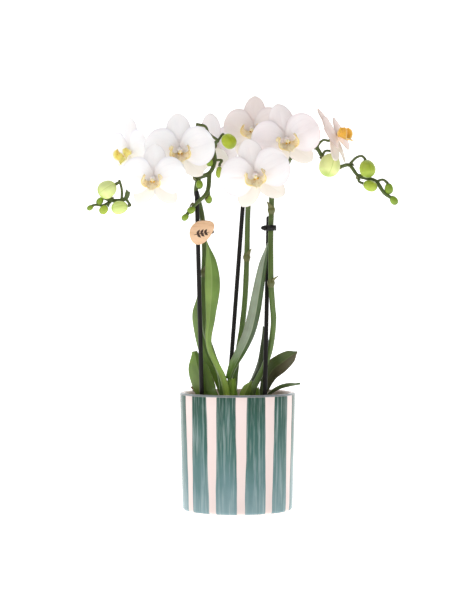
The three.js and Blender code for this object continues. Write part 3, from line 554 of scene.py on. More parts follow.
def place(piece, slot, *nodes, slack=0.004):
    """Rides the piece on the plant in place of its solids, and checks that it fills their box."""
    if nodes:
        lows, highs = zip(*(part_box(node) for node in nodes))
        low = [min(c) for c in zip(*lows)]
        high = [max(c) for c in zip(*highs)]
        points = [v.co for v in piece.data.vertices]
        for k in range(3):
            off = max(abs(min(p[k] for p in points) - low[k]), abs(max(p[k] for p in points) - high[k]))
            if off > slack:
                raise RuntimeError(f"{piece.name} is {off * 1000:.1f} mm off its solid along {'XYZ'[k]}")
        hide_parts(*nodes)
    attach(piece, "root")
    return piece


# ---------------------------------------------------------------- materials
def add_node(tree, kind, inputs=None, out=0, stops=(), **settings):
    """Adds a node with its settings and gives back one of its outputs. Each input takes a plain
    value, or the output that feeds it."""
    node = tree.nodes.new(kind)
    for key, value in settings.items():
        setattr(node, key, value)
    for socket, value in (inputs or {}).items():
        if isinstance(value, bpy.types.NodeSocket):
            tree.links.new(value, node.inputs[socket])
        else:
            node.inputs[socket].default_value = value
    for k, (position, tint) in enumerate(stops):
        ramp = node.color_ramp
        element = ramp.elements[k] if k < len(ramp.elements) else ramp.elements.new(1.0)
        element.position, element.color = position, linear(tint)
    return node.outputs[out] if node.outputs else None


def new_material(name, plain, fill):
    """A material with one Principled shader: its plain values, and the inputs that fill's nodes feed."""
    material = bpy.data.materials.new(name)
    material.use_nodes = True
    tree = material.node_tree
    tree.nodes.clear()
    shader = add_node(tree, "ShaderNodeBsdfPrincipled", {**plain, **fill(partial(add_node, tree))})
    add_node(tree, "ShaderNodeOutputMaterial", {"Surface": shader})
    return material


def striped_glaze(settings, radius, height):
    """Glazed stoneware, dipped in a pinkish white glaze and striped with a wide brush: the gloss is
    even, the stripes have soft edges, and the brush's hairs leave streaks where the colour ran out
    towards the foot."""
    pitch = 2 * math.pi * radius / settings.stripes
    border = (pitch - settings.stripe_width) / 2
    # Where the stripes start, in stripes round the pot: its whole part picks how each edge wavers
    start = settings.stripes / 2 + 40.88
    waver_depth, brush_corner = 0.0022, 0.0018

    def fill(node):
        where = node("ShaderNodeTexCoord", out="Object")
        x, y, z = (node("ShaderNodeSeparateXYZ", {0: where}, out=k) for k in range(3))
        angle = node("ShaderNodeMath", {0: x, 1: y}, operation="ARCTAN2")
        turn = node("ShaderNodeMath", {0: angle, 1: -settings.stripes / (2 * math.pi), 2: start},
                    operation="MULTIPLY_ADD")
        # A hand's waver along each edge: gentle bends about 40 mm long, each edge its own
        edge = node("ShaderNodeMath", {0: turn, 1: 0.5}, operation="SNAP")
        slow = node("ShaderNodeMath", {0: z, 1: 25.0}, operation="MULTIPLY")
        own = node("ShaderNodeCombineXYZ", {0: edge, 2: slow})
        waver = node("ShaderNodeTexNoise", {"Vector": own, "Scale": 1.0, "Detail": 1.0})
        bare = node("ShaderNodeMapRange",
                    {"Value": z, "From Max": height, "To Min": border - 0.0014, "To Max": border})
        bare = node("ShaderNodeMath", {0: waver, 1: waver_depth, 2: bare}, operation="MULTIPLY_ADD")
        in_cell = node("ShaderNodeMath", {0: turn, 1: 0.5}, operation="PINGPONG")
        side = node("ShaderNodeMath", {0: in_cell, 1: pitch, 2: 0.0009}, operation="MULTIPLY_ADD")
        side = node("ShaderNodeMath", {0: side, 1: bare}, operation="SUBTRACT")
        top = node("ShaderNodeMath", {0: waver, 1: -waver_depth, 2: height + 0.0003},
                   operation="MULTIPLY_ADD")
        top = node("ShaderNodeMath", {0: top, 1: z}, operation="SUBTRACT")
        inside = node("ShaderNodeMath", {0: side, 1: top, 2: brush_corner}, operation="SMOOTH_MIN")
        mask = node("ShaderNodeMapRange", {"Value": inside, "From Min": -0.0002, "From Max": 0.0004},
                    interpolation_type="SMOOTHSTEP")
        # Brush streaks: real hairs leave lines 0.3 to 0.5 mm apart, so they are drawn about 2 mm wide with
        # finer ones in them, to show, and 50 mm long
        across = node("ShaderNodeMath", {0: turn, 1: pitch}, operation="MULTIPLY")
        drawn = node("ShaderNodeMath", {0: z, 1: 0.045}, operation="MULTIPLY")
        hairs = node("ShaderNodeCombineXYZ", {0: across, 2: drawn})
        streak = node("ShaderNodeTexNoise",
                      {"Vector": hairs, "Scale": 420.0, "Detail": 4.0, "Roughness": 0.6})
        broad = node("ShaderNodeTexNoise", {"Vector": hairs, "Scale": 120.0, "Detail": 2.0})
        patch = node("ShaderNodeTexNoise", {"Vector": where, "Scale": 30.0, "Detail": 3.0})
        load = node("ShaderNodeMath", {0: z, 1: 1 / height, 2: -0.42}, operation="MULTIPLY_ADD")
        load = node("ShaderNodeMath", {0: patch, 1: 0.4, 2: load}, operation="MULTIPLY_ADD")
        load = node("ShaderNodeMath", {0: broad, 1: 0.52, 2: load}, operation="MULTIPLY_ADD")
        paint = node("ShaderNodeValToRGB", {0: load}, stops=[
            (0.0, "#8AA6AB"), (0.3, "#688A8C"), (0.58, "#47706A"), (0.8, "#345F55"), (0.97, "#2A5144")])
        thin = node("ShaderNodeMapRange",
                    {"Value": streak, "From Min": 0.48, "From Max": 0.74, "To Max": 0.55})
        paint = node("ShaderNodeMix", {0: thin, 6: paint, 7: linear("#C9D6D6")}, out=2, data_type="RGBA")
        # The stripes end on the rim: the inside wall is only glazed. Distances from the axis are squared
        y_squared = node("ShaderNodeMath", {0: y, 1: y}, operation="MULTIPLY")
        from_axis = node("ShaderNodeMath", {0: x, 1: x, 2: y_squared}, operation="MULTIPLY_ADD")
        shell = node("ShaderNodeMapRange", {"Value": from_axis, "From Min": (radius - 0.004) ** 2,
                                            "From Max": (radius - 0.0037) ** 2})
        mask = node("ShaderNodeMath", {0: mask, 1: shell}, operation="MULTIPLY")
        # A thin blue grey line runs along the sharp outer edge of the rim
        outer = node("ShaderNodeMapRange", {"Value": from_axis, "From Min": (radius - 0.0022) ** 2,
                                            "From Max": (radius - 0.0012) ** 2})
        high = node("ShaderNodeMapRange",
                    {"Value": z, "From Min": height - 0.0022, "From Max": height - 0.0014})
        rim = node("ShaderNodeMath", {0: outer, 1: high}, operation="MULTIPLY")
        rim = node("ShaderNodeMath", {0: rim, 1: 0.85}, operation="MULTIPLY")
        body = node("ShaderNodeMix", {0: patch, 6: (*settings.glaze, 1.0), 7: linear("#F3DDD8")}, out=2,
                    data_type="RGBA")
        body = node("ShaderNodeMix", {0: rim, 6: body, 7: linear("#5F7780")}, out=2, data_type="RGBA")
        stripes_off_rim_line = node("ShaderNodeMath", {0: mask, 1: rim}, operation="SUBTRACT", use_clamp=True)
        tint = node("ShaderNodeMix", {0: stripes_off_rim_line, 6: body, 7: paint}, out=2, data_type="RGBA")
        # The glaze stands a little thicker over the stripes and pools between the brush hairs
        swell = node("ShaderNodeMath", {0: streak, 1: 0.25, 2: mask}, operation="MULTIPLY_ADD")
        bump = node("ShaderNodeBump", {"Height": swell, "Strength": 0.5, "Distance": 0.0001})
        return {"Base Color": tint, "Normal": bump}

    return new_material("glazed_stoneware_brushed_stripes", {
        "Roughness": 0.2, "IOR": 1.5, "Specular IOR Level": 0.18, "Coat Weight": 0.05, "Coat Roughness": 0.08,
    }, fill)


def clear_plastic():
    """Clear polypropylene, thin-wall moulded: slightly cloudy, with sharp highlights on its rim."""
    def fill(node):
        where = node("ShaderNodeTexCoord", out="Object")
        # Cloudy patches about 6 mm wide
        cloud = node("ShaderNodeTexNoise", {"Vector": where, "Scale": 160.0, "Detail": 3.0})
        return {"Normal": node("ShaderNodeBump", {"Height": cloud, "Strength": 0.3, "Distance": 0.0002})}

    return new_material("clear_polypropylene_moulded", {
        "IOR": 1.49, "Roughness": 0.16, "Transmission Weight": 0.85, "Base Color": linear("#E4E9E4"),
    }, fill)


def pine_bark():
    """Graded pine bark, broken and damp: matt chips from orange brown to nearly black, layered."""
    def fill(node):
        where = node("ShaderNodeTexCoord", out="Object")
        tone = node("ShaderNodeAttribute", out="Fac", attribute_name="tone")
        # Layers of cork 2 to 3 mm thick; each chip has its own tone
        layer = node("ShaderNodeTexNoise",
                     {"Vector": where, "Scale": 380.0, "Detail": 5.0, "Roughness": 0.65})
        chip = node("ShaderNodeMath", {0: tone, 1: 0.75}, operation="MULTIPLY")
        mix = node("ShaderNodeMath", {0: layer, 1: 0.35, 2: chip}, operation="MULTIPLY_ADD")
        tint = node("ShaderNodeValToRGB", {0: mix}, stops=[
            (0.1, "#2A1A10"), (0.35, "#4F3320"), (0.6, "#77502F"), (0.8, "#94693F"), (1.0, "#B08A5C")])
        bump = node("ShaderNodeBump", {"Height": layer, "Strength": 0.8, "Distance": 0.0008})
        return {"Base Color": tint, "Normal": bump}

    return new_material("pine_bark_chips_damp", {"Roughness": 0.85}, fill)


def root_skin():
    """The spongy skin of an aerial root: matt silver green, greener where it is damp."""
    def fill(node):
        where = node("ShaderNodeTexCoord", out="Object")
        # Damp blots about 7 mm long
        blot = node("ShaderNodeTexNoise", {"Vector": where, "Scale": 140.0, "Detail": 4.0})
        tint = node("ShaderNodeValToRGB", {0: blot},
                    stops=[(0.35, "#7E9468"), (0.5, "#A5B093"), (0.65, "#C2C6B2")])
        bump = node("ShaderNodeBump", {"Height": blot, "Strength": 0.5, "Distance": 0.0004})
        return {"Base Color": tint, "Normal": bump}

    return new_material("aerial_root_velamen", {
        "Roughness": 0.78, "Subsurface Weight": 0.1, "Subsurface Scale": 0.002,
    }, fill)


def leaf_skin(name, left, right, base, rib):
    """A living leaf with a waxy skin: half gloss, a paler midrib, faint veins lengthwise, and a
    sheath end that is paler where it grew in the dark. Its two halves carry painted light and shade: the
    half towards the light in a lit colour, the other in a shaded colour."""
    def fill(node):
        route = node("ShaderNodeUVMap", uv_map="route")
        a, b = (node("ShaderNodeSeparateXYZ", {0: route}, out=k) for k in range(2))
        where = node("ShaderNodeTexCoord", out="Object")
        # Veins about 0.7 mm apart, as long as the leaf
        lines = node("ShaderNodeMapping", {"Vector": route, "Scale": (28.0, 3.2, 1.0)})
        vein = node("ShaderNodeTexNoise", {"Vector": lines, "Scale": 1.0, "Detail": 3.0})
        blot = node("ShaderNodeTexNoise", {"Vector": where, "Scale": 60.0, "Detail": 3.0})
        half = node("ShaderNodeMapRange", {"Value": a, "From Min": 0.44, "From Max": 0.56},
                    interpolation_type="SMOOTHSTEP")
        young = node("ShaderNodeMapRange", {"Value": b, "From Min": 0.45, "From Max": 0.1},
                     interpolation_type="SMOOTHSTEP")
        # Painted light and shade: each side of the midrib takes its own colour, one lit and one shaded
        skin = node("ShaderNodeMix", {0: half, 6: linear(left), 7: linear(right)}, out=2, data_type="RGBA")
        skin = node("ShaderNodeMix", {0: young, 6: skin, 7: linear(base)}, out=2, data_type="RGBA")
        shade = node("ShaderNodeMath", {0: blot, 1: 0.7, 2: 0.4}, operation="MULTIPLY_ADD")
        shade = node("ShaderNodeMath", {0: vein, 1: 0.5, 2: shade}, operation="MULTIPLY_ADD")
        skin = node("ShaderNodeMix", {0: 1.0, 6: skin, 7: shade}, out=2, data_type="RGBA",
                    blend_type="MULTIPLY")
        off = node("ShaderNodeMath", {0: a, 1: 0.5}, operation="PINGPONG")
        midrib = node("ShaderNodeMapRange", {"Value": off, "From Min": 0.455, "From Max": 0.5, "To Max": 0.6},
                      interpolation_type="SMOOTHSTEP")
        skin = node("ShaderNodeMix", {0: midrib, 6: skin, 7: linear(rib)}, out=2, data_type="RGBA")
        groove = node("ShaderNodeMath", {0: midrib, 1: -1.0, 2: vein}, operation="MULTIPLY_ADD")
        bump = node("ShaderNodeBump", {"Height": groove, "Strength": 0.5, "Distance": 0.0003})
        return {"Base Color": skin, "Normal": bump}

    return new_material(f"waxy_leaf_{name}", {
        "Roughness": 0.36, "IOR": 1.45, "Subsurface Weight": 0.06, "Subsurface Scale": 0.003,
        "Coat Weight": 0.12, "Coat Roughness": 0.25,
    }, fill)


def stalk_skin(settings):
    """A green flower stalk: smooth, half gloss, darker towards its tips and browner at its joints."""
    def fill(node):
        where = node("ShaderNodeTexCoord", out="Object")
        z = node("ShaderNodeSeparateXYZ", {0: where}, out=2)
        old = node("ShaderNodeMapRange", {"Value": z, "From Min": 0.30, "From Max": 0.13})
        blot = node("ShaderNodeTexNoise", {"Vector": where, "Scale": 90.0, "Detail": 4.0})
        tone = node("ShaderNodeAttribute", out="Fac", attribute_name="tone")
        green = node("ShaderNodeMix",
                     {0: old, 6: (*settings.stalk_dark, 1.0), 7: (*settings.stalk_light, 1.0)}, out=2,
                     data_type="RGBA")
        green = node("ShaderNodeMix", {0: tone, 6: green, 7: linear("#6B6A38")}, out=2, data_type="RGBA")
        dark = node("ShaderNodeMapRange", {"Value": blot, "From Min": 0.5, "From Max": 0.75, "To Max": 0.4})
        green = node("ShaderNodeMix", {0: dark, 6: green, 7: linear("#2F3A17")}, out=2, data_type="RGBA")
        bump = node("ShaderNodeBump", {"Height": blot, "Strength": 0.4, "Distance": 0.0002})
        return {"Base Color": green, "Normal": bump}

    return new_material("flower_stalk_green", {
        "Roughness": 0.42, "Subsurface Weight": 0.04, "Subsurface Scale": 0.002,
    }, fill)


def bud_skin(name, light, dark):
    """A closed flower bud: satin and firm, with three fine seams where its sepals meet. Painted light and
    shade: yellow green on its cheeks in its lit colour, and greener at both ends in its shaded colour."""
    def fill(node):
        route = node("ShaderNodeUVMap", uv_map="route")
        a, b = (node("ShaderNodeSeparateXYZ", {0: route}, out=k) for k in range(2))
        where = node("ShaderNodeTexCoord", out="Object")
        blot = node("ShaderNodeTexNoise", {"Vector": where, "Scale": 90.0, "Detail": 3.0})
        # Painted light and shade: halfway along, the cheeks take the lit colour, and both ends the shaded one
        lit_cheeks = node("ShaderNodeMath", {0: b, 1: 0.5}, operation="PINGPONG")
        lit_cheeks = node("ShaderNodeMath", {0: blot, 1: 0.3, 2: lit_cheeks}, operation="MULTIPLY_ADD")
        lit_cheeks = node("ShaderNodeMapRange", {"Value": lit_cheeks, "From Min": 0.12, "From Max": 0.5},
                     interpolation_type="SMOOTHSTEP")
        seam = node("ShaderNodeMapRange", {"Value": a, "From Min": 0.1, "From Max": 0.0, "To Max": 0.45},
                    interpolation_type="SMOOTHSTEP")
        skin = node("ShaderNodeMix", {0: lit_cheeks, 6: linear(dark), 7: linear(light)}, out=2, data_type="RGBA")
        skin = node("ShaderNodeMix", {0: seam, 6: skin, 7: linear(dark)}, out=2, data_type="RGBA")
        bump = node("ShaderNodeBump", {"Height": blot, "Strength": 0.3, "Distance": 0.0002})
        return {"Base Color": skin, "Normal": bump}

    return new_material(f"flower_bud_{name}", {
        "Roughness": 0.42, "Subsurface Weight": 0.15, "Subsurface Scale": 0.003,
        "Subsurface Radius": (0.6, 1.0, 0.3),
    }, fill)


def petal_skin(settings, name, tint, edge):
    """Living petal: white cells full of air, so light spreads inside; a soft sheen, and veins that
    fan out from the base and show as faint ridges. Painted shade darkens it towards its edges, and the
    sepals behind take a painted shade, a warm grey, the lower ones most."""
    def fill(node):
        route = node("ShaderNodeUVMap", uv_map="route")
        a, b = (node("ShaderNodeSeparateXYZ", {0: route}, out=k) for k in range(2))
        tone = node("ShaderNodeAttribute", out="Fac", attribute_name="tone")
        # Eighteen or so veins over the width, with cross veins between them
        fan = node("ShaderNodeMapping", {"Vector": route, "Scale": (17.0, 2.2, 1.0)})
        vein = node("ShaderNodeTexNoise", {"Vector": fan, "Scale": 1.0, "Detail": 3.0, "Roughness": 0.55})
        off = node("ShaderNodeMath", {0: a, 1: 0.5}, operation="PINGPONG")
        rib = node("ShaderNodeMapRange", {"Value": off, "From Min": 0.46, "From Max": 0.5},
                   interpolation_type="SMOOTHSTEP")
        heart = node("ShaderNodeMapRange", {"Value": b, "From Min": 0.36, "From Max": 0.0, "To Max": 0.8},
                     interpolation_type="SMOOTHSTEP")
        # Painted shade: each petal turns towards its edge colour, lavender grey, near its edges where it
        # curves away from the light
        rim = node("ShaderNodeMapRange", {"Value": off, "From Min": 0.16, "From Max": 0.0, "To Max": 0.6},
                   interpolation_type="SMOOTHSTEP")
        white = node("ShaderNodeMix", {0: rim, 6: linear(tint), 7: linear(edge)}, out=2, data_type="RGBA")
        white = node("ShaderNodeMix", {0: heart, 6: white, 7: (*settings.petal_base, 1.0)}, out=2,
                     data_type="RGBA")
        pale = node("ShaderNodeMapRange", {"Value": vein, "From Min": 0.5, "From Max": 0.85, "To Max": 0.3})
        white = node("ShaderNodeMix", {0: pale, 6: white, 7: linear(edge)}, out=2, data_type="RGBA")
        # Painted shade: the sepals behind, their hub and a touch of the column turn to the warm grey of
        # sepals in shade, by their tone
        white = node("ShaderNodeMix", {0: tone, 6: white, 7: (*settings.sepal, 1.0)}, out=2, data_type="RGBA")
        ridge = node("ShaderNodeMath", {0: rib, 1: -0.6, 2: vein}, operation="MULTIPLY_ADD")
        bump = node("ShaderNodeBump", {"Height": ridge, "Strength": 0.35, "Distance": 0.0003})
        return {"Base Color": white, "Normal": bump}

    return new_material(f"white_petal_{name}", {
        "Roughness": 0.5, "Subsurface Weight": 0.3, "Subsurface Scale": 0.002,
        "Subsurface Radius": (1.0, 0.8, 0.75), "Sheen Weight": 0.06, "Sheen Roughness": 0.4,
    }, fill)


def lip_skin(settings, name, cream, edge):
    """The flower's lip: fleshy and waxy, cream with deeper edges, and yellow at its heart where
    maroon flecks about half a millimetre across crowd together."""
    def fill(node):
        route = node("ShaderNodeUVMap", uv_map="route")
        a = node("ShaderNodeSeparateXYZ", {0: route})
        where = node("ShaderNodeTexCoord", out="Object")
        tone = node("ShaderNodeAttribute", out="Fac", attribute_name="tone")
        cloud = node("ShaderNodeTexNoise", {"Vector": where, "Scale": 240.0, "Detail": 3.0})
        fleck = node("ShaderNodeTexVoronoi", {"Vector": where, "Scale": 800.0})
        off = node("ShaderNodeMath", {0: a, 1: 0.5}, operation="PINGPONG")
        rim = node("ShaderNodeMath", {0: cloud, 1: 0.2, 2: off}, operation="MULTIPLY_ADD")
        rim = node("ShaderNodeMapRange", {"Value": rim, "From Min": 0.3, "From Max": 0.12})
        skin = node("ShaderNodeMix", {0: rim, 6: linear(cream), 7: linear(edge)}, out=2, data_type="RGBA")
        warm = node("ShaderNodeMath", {0: cloud, 1: 0.8, 2: tone}, operation="MULTIPLY_ADD")
        warm = node("ShaderNodeMapRange", {"Value": warm, "From Min": 0.75, "From Max": 1.25})
        skin = node("ShaderNodeMix", {0: warm, 6: skin, 7: (*settings.lip_yellow, 1.0)}, out=2,
                    data_type="RGBA")
        spot = node("ShaderNodeMapRange", {"Value": fleck, "From Min": 0.4, "From Max": 0.25})
        spot = node("ShaderNodeMath", {0: spot, 1: warm}, operation="MULTIPLY")
        skin = node("ShaderNodeMix", {0: spot, 6: skin, 7: (*settings.lip_fleck, 1.0)}, out=2,
                    data_type="RGBA")
        bump = node("ShaderNodeBump", {"Height": cloud, "Strength": 0.5, "Distance": 0.0003})
        return {"Base Color": skin, "Normal": bump}

    return new_material(f"orchid_lip_{name}", {
        "Roughness": 0.38, "Subsurface Weight": 0.3, "Subsurface Scale": 0.003,
        "Subsurface Radius": (1.0, 0.7, 0.4),
    }, fill)


def black_plastic(name, roughness, grit):
    """Black nylon or coated wire: plain dark plastic whose fine texture spreads the highlight."""
    def fill(node):
        where = node("ShaderNodeTexCoord", out="Object")
        grain = node("ShaderNodeTexNoise", {"Vector": where, "Scale": grit, "Detail": 2.0})
        tint = node("ShaderNodeMix", {0: grain, 6: linear("#0B0909"), 7: linear("#1A1614")}, out=2,
                    data_type="RGBA")
        bump = node("ShaderNodeBump", {"Height": grain, "Strength": 0.35, "Distance": 0.0001})
        return {"Base Color": tint, "Normal": bump}

    return new_material(name, {"Roughness": roughness, "IOR": 1.5, "Specular IOR Level": 0.3}, fill)


def tag_wood():
    """Birch plywood, laser cut and sanded: pale, with fine growth lines and a matt skin."""
    def fill(node):
        where = node("ShaderNodeTexCoord", out="Object")
        pulled = node("ShaderNodeMapping",
                      {"Vector": where, "Scale": (0.12, 1.0, 1.0), "Rotation": (0, 0.18, 0)})
        # Growth lines: 1.6 mm waves with finer ones in them, eight times as long as wide
        grain = node("ShaderNodeTexNoise",
                     {"Vector": pulled, "Scale": 620.0, "Detail": 4.0, "Distortion": 0.6})
        broad = node("ShaderNodeTexNoise", {"Vector": pulled, "Scale": 190.0, "Detail": 2.0})
        wood = node("ShaderNodeMix", {0: broad, 6: linear("#E6B98E"), 7: linear("#F2CDAA")}, out=2,
                    data_type="RGBA")
        line = node("ShaderNodeMapRange", {"Value": grain, "From Min": 0.5, "From Max": 0.8, "To Max": 0.5})
        wood = node("ShaderNodeMix", {0: line, 6: wood, 7: linear("#C08C5C")}, out=2, data_type="RGBA")
        bump = node("ShaderNodeBump", {"Height": grain, "Strength": 0.5, "Distance": 0.00012})
        return {"Base Color": wood, "Normal": bump}

    return new_material("birch_sanded", {"Roughness": 0.62}, fill)


def dark_print():
    """Pad-printed ink on wood: matt, dark brown and thin enough to look a little worn."""
    def fill(node):
        where = node("ShaderNodeTexCoord", out="Object")
        worn = node("ShaderNodeTexNoise", {"Vector": where, "Scale": 900.0})
        ink = node("ShaderNodeMix", {0: worn, 6: linear("#2E2019"), 7: linear("#54392A")}, out=2,
                   data_type="RGBA")
        return {"Base Color": ink}

    return new_material("dark_print", {"Roughness": 0.7}, fill)


def white_backdrop():
    """Matt white studio paper that is lit evenly from behind."""
    def fill(node):
        where = node("ShaderNodeTexCoord", out="Object")
        fibre = node("ShaderNodeTexNoise", {"Vector": where, "Scale": 900.0})
        return {"Normal": node("ShaderNodeBump", {"Height": fibre, "Strength": 0.1, "Distance": 0.00005})}

    return new_material("white_paper_backdrop", {
        "Roughness": 0.9, "Base Color": linear("#FFFFFF"), "Emission Color": (1, 1, 1, 1),
        "Emission Strength": 0.92,
    }, fill)


# ---------------------------------------------------------------- operators
class ORCHID_OT_cover_pot(bpy.types.Operator):
    """Turn the cover pot with its rounded rim and foot, and glaze it"""
    bl_idname = "orchid.cover_pot"
    bl_label = "Cover Pot"

    def execute(self, context):
        settings = context.scene.orchid_pot
        _low, (rim, _depth, height) = solid_box("pot")
        wall = settings.wall / MM
        foot, floor = rim - POT_TAPER, POT_FLOOR

        def outside(z):
            return foot + (rim - foot) * z / height

        heel = foot - POT_HEEL
        profile = [(AXIS, 0.0), (foot - 8, 0.0), (heel, 0.0)]
        profile += [(heel + POT_HEEL * math.sin(t), POT_HEEL - POT_HEEL * math.cos(t))
                    for t in (0.4, 0.8, 1.2, 1.5708)]
        profile += [(outside(z), z) for z in range(8, int(height) - 4, 6)]
        middle = rim - wall / 2 - 0.1
        profile += [(middle + wall / 2 * math.cos(t), height - wall / 2 + wall / 2 * math.sin(t))
                    for t in [math.pi * k / 12 for k in range(13)]]
        profile += [(outside(z) - wall, z) for z in range(int(height) - 8, int(floor) + 6, -6)]
        profile += [(outside(floor) - wall - 0.4, floor + 3), (outside(floor) - wall - 1.6, floor + 1),
                    (outside(floor) - wall - 4, floor), (AXIS, floor)]
        skin = Skin()
        skin.turned(profile, sides=160, caps=True)
        material = striped_glaze(settings, rim * MM, height * MM)
        place(skin.build("cover_pot", [material]), "striped_glaze", "pot")
        return {"FINISHED"}


class ORCHID_OT_grow_pot(bpy.types.Operator):
    """Mould the clear grow pot that holds the bark"""
    bl_idname = "orchid.grow_pot"
    bl_label = "Grow Pot"

    def execute(self, context):
        low, high = solid_box("grow_pot")
        lip, top, base = high[0], high[2], low[2]
        skin = Skin()
        profile = [(AXIS, base), (32, base), (32.5, base + 0.5), (lip - 2.3, top - 3), (lip - 0.3, top - 3),
                   (lip, top - 2.6), (lip, top - 0.3), (lip - 0.3, top), (lip - 2.6, top),
                   (lip - 2.9, top - 0.4), (31.8, base + 1.4), (31.2, base + 0.9), (AXIS, base + 0.9)]
        skin.turned(profile, sides=120, caps=True)
        place(skin.build("grow_pot_shell", [clear_plastic()]), "clear_plastic", "grow_pot")
        return {"FINISHED"}


class ORCHID_OT_bark(bpy.types.Operator):
    """Fill the grow pot with bark chips"""
    bl_idname = "orchid.bark"
    bl_label = "Bark"

    def execute(self, context):
        pot = context.scene.orchid_pot
        dice = random.Random(context.scene.orchid_plant.seed)
        low, high = solid_box("bark")
        reach, base = high[0], low[2]
        skin = Skin()
        profile = [(AXIS, base), (31.4, base), (reach, BARK_TOP - 2), (reach - 4, BARK_TOP - 1.5),
                   (AXIS, BARK_TOP - 1.5)]
        skin.turned(profile, sides=72, tone=0.1, caps=True)
        corners = [Vector((x, y, z)) for x in (-1, 1) for y in (-1, 1) for z in (-1, 1)]
        sides = [(0, 1, 3, 2), (4, 6, 7, 5), (0, 4, 5, 1), (2, 3, 7, 6), (0, 2, 6, 4), (1, 5, 7, 3)]
        for k in range(pot.chips):
            r = (reach - 5) * math.sqrt((k + 0.5) / pot.chips)
            turn = GOLDEN_TURN * k
            size = Vector((dice.uniform(3, 6.5), dice.uniform(2.2, 4), dice.uniform(1, 2)))
            spin = Matrix.Rotation(dice.uniform(0, 6.3), 3, "Z")
            spin = spin @ Matrix.Rotation(dice.uniform(-0.5, 0.5), 3, "X")
            spin = spin @ Matrix.Rotation(dice.uniform(-0.35, 0.35), 3, "Y")
            at = Vector((r * math.cos(turn), r * math.sin(turn), BARK_TOP - 0.6 + dice.uniform(-1.2, 0.6)))
            first = len(skin.points)
            tone = dice.uniform(0.0, 1.0)
            for corner in corners:
                jag = Vector([0.62 * dice.uniform(0.62, 1.0) for _ in range(3)])
                p = at + spin @ Vector([c * s * j for c, s, j in zip(corner, size, jag)])
                skin.points.append(p * MM)
                skin.route.append((0.5, 0.5))
                skin.tone.append(tone)
            for side in sides:
                skin.face(tuple(first + i for i in side), 0)
        piece = skin.build("bark_mix", [pine_bark()], smooth=False)
        bevel = piece.modifiers.new("worn_edges", "BEVEL")
        bevel.width, bevel.segments, bevel.limit_method = 0.0004, 1, "ANGLE"
        place(piece, "bark", "bark")
        return {"FINISHED"}


class ORCHID_OT_roots(bpy.types.Operator):
    """Lay the aerial roots over the bark"""
    bl_idname = "orchid.roots"
    bl_label = "Aerial Roots"

    def execute(self, context):
        material = root_skin()
        for k, (name, points) in enumerate(ROOTS.items()):
            skin = Skin()
            skin.tube(points, lambda u: ROOT * (1 - 0.25 * u) * min(1.0, 0.3 + 6 * (1 - u)) ** 0.5, sides=18,
                      knobs=0.25, seed=k, spacing=0.8)
            place(skin.build(f"aerial_{name}", [material]), "root", name)
        return {"FINISHED"}


class ORCHID_OT_crowns(bpy.types.Operator):
    """Wrap the leaf sheaths round each crown"""
    bl_idname = "orchid.crowns"
    bl_label = "Crowns"

    def execute(self, context):
        # The sheaths' two half colours are a painted lit side and a painted shaded side
        core = leaf_skin("sheath", "#94BC3E", "#84AE34", "#7AA630", "#A6C25C")
        for name, ((x, y), radius, top) in CROWNS.items():
            skin = Skin()
            base = BARK_TOP - 5
            profile = [(AXIS, base), (0.7 * radius, base), (radius, BARK_TOP + 5), (0.93 * radius, top - 14),
                       (0.7 * radius, top - 6), (0.36 * radius, top - 1.5), (AXIS, top)]
            skin.turned(profile, sides=40, centre=(x, y), tone=1.0, caps=True)
            for k in range(4):
                turn = math.pi * k + 0.5 * (k > 1) - 1.1
                out = Vector((math.cos(turn), math.sin(turn), 0))
                side = Vector((-out.y, out.x, 0))
                low = BARK_TOP + 1 + 3 * k
                tall = 0.9 * (top + 3 - low)
                r = 0.85 * radius - 0.3 * k
                spine = [Vector((x, y, 0)) + out * r * s + Vector((0, 0, low + h * tall)) for s, h in
                         ((1, 0), (1.1, 0.38), (1.0, 0.75), (0.8, 1))]
                half = [0.85 * radius, 0.95 * radius, 0.7 * radius, 0.4 * radius, 0.3]
                skin.blade(spine, [side] * 2, half, fold=0.45, thick=0.9, rows=18, cols=12)
            place(skin.build(f"{name}_sheaths", [core]), "leaf", name)
        return {"FINISHED"}


class ORCHID_OT_leaves(bpy.types.Operator):
    """Grow the leaves along their spines"""
    bl_idname = "orchid.leaves"
    bl_label = "Leaves"

    def execute(self, context):
        for k, (name, (spine, across, half, fold, tints)) in enumerate(LEAVES.items()):
            skin = Skin()

            # Ripples towards the edges, and a sunken midrib
            def wave(u, v, k=k):
                return 0.35 * abs(v) * math.sin(9 * u + 2.1 * k) * u - 0.35 * math.exp(-((v / 0.12) ** 2))

            skin.blade(spine, across, half, fold=fold, thick=LEAF_THICKNESS, rows=64, cols=18, wave=wave,
                       thin=0.7)
            place(skin.build(f"{name}_blade", [leaf_skin(name, *tints)]), "leaf", name)
        return {"FINISHED"}


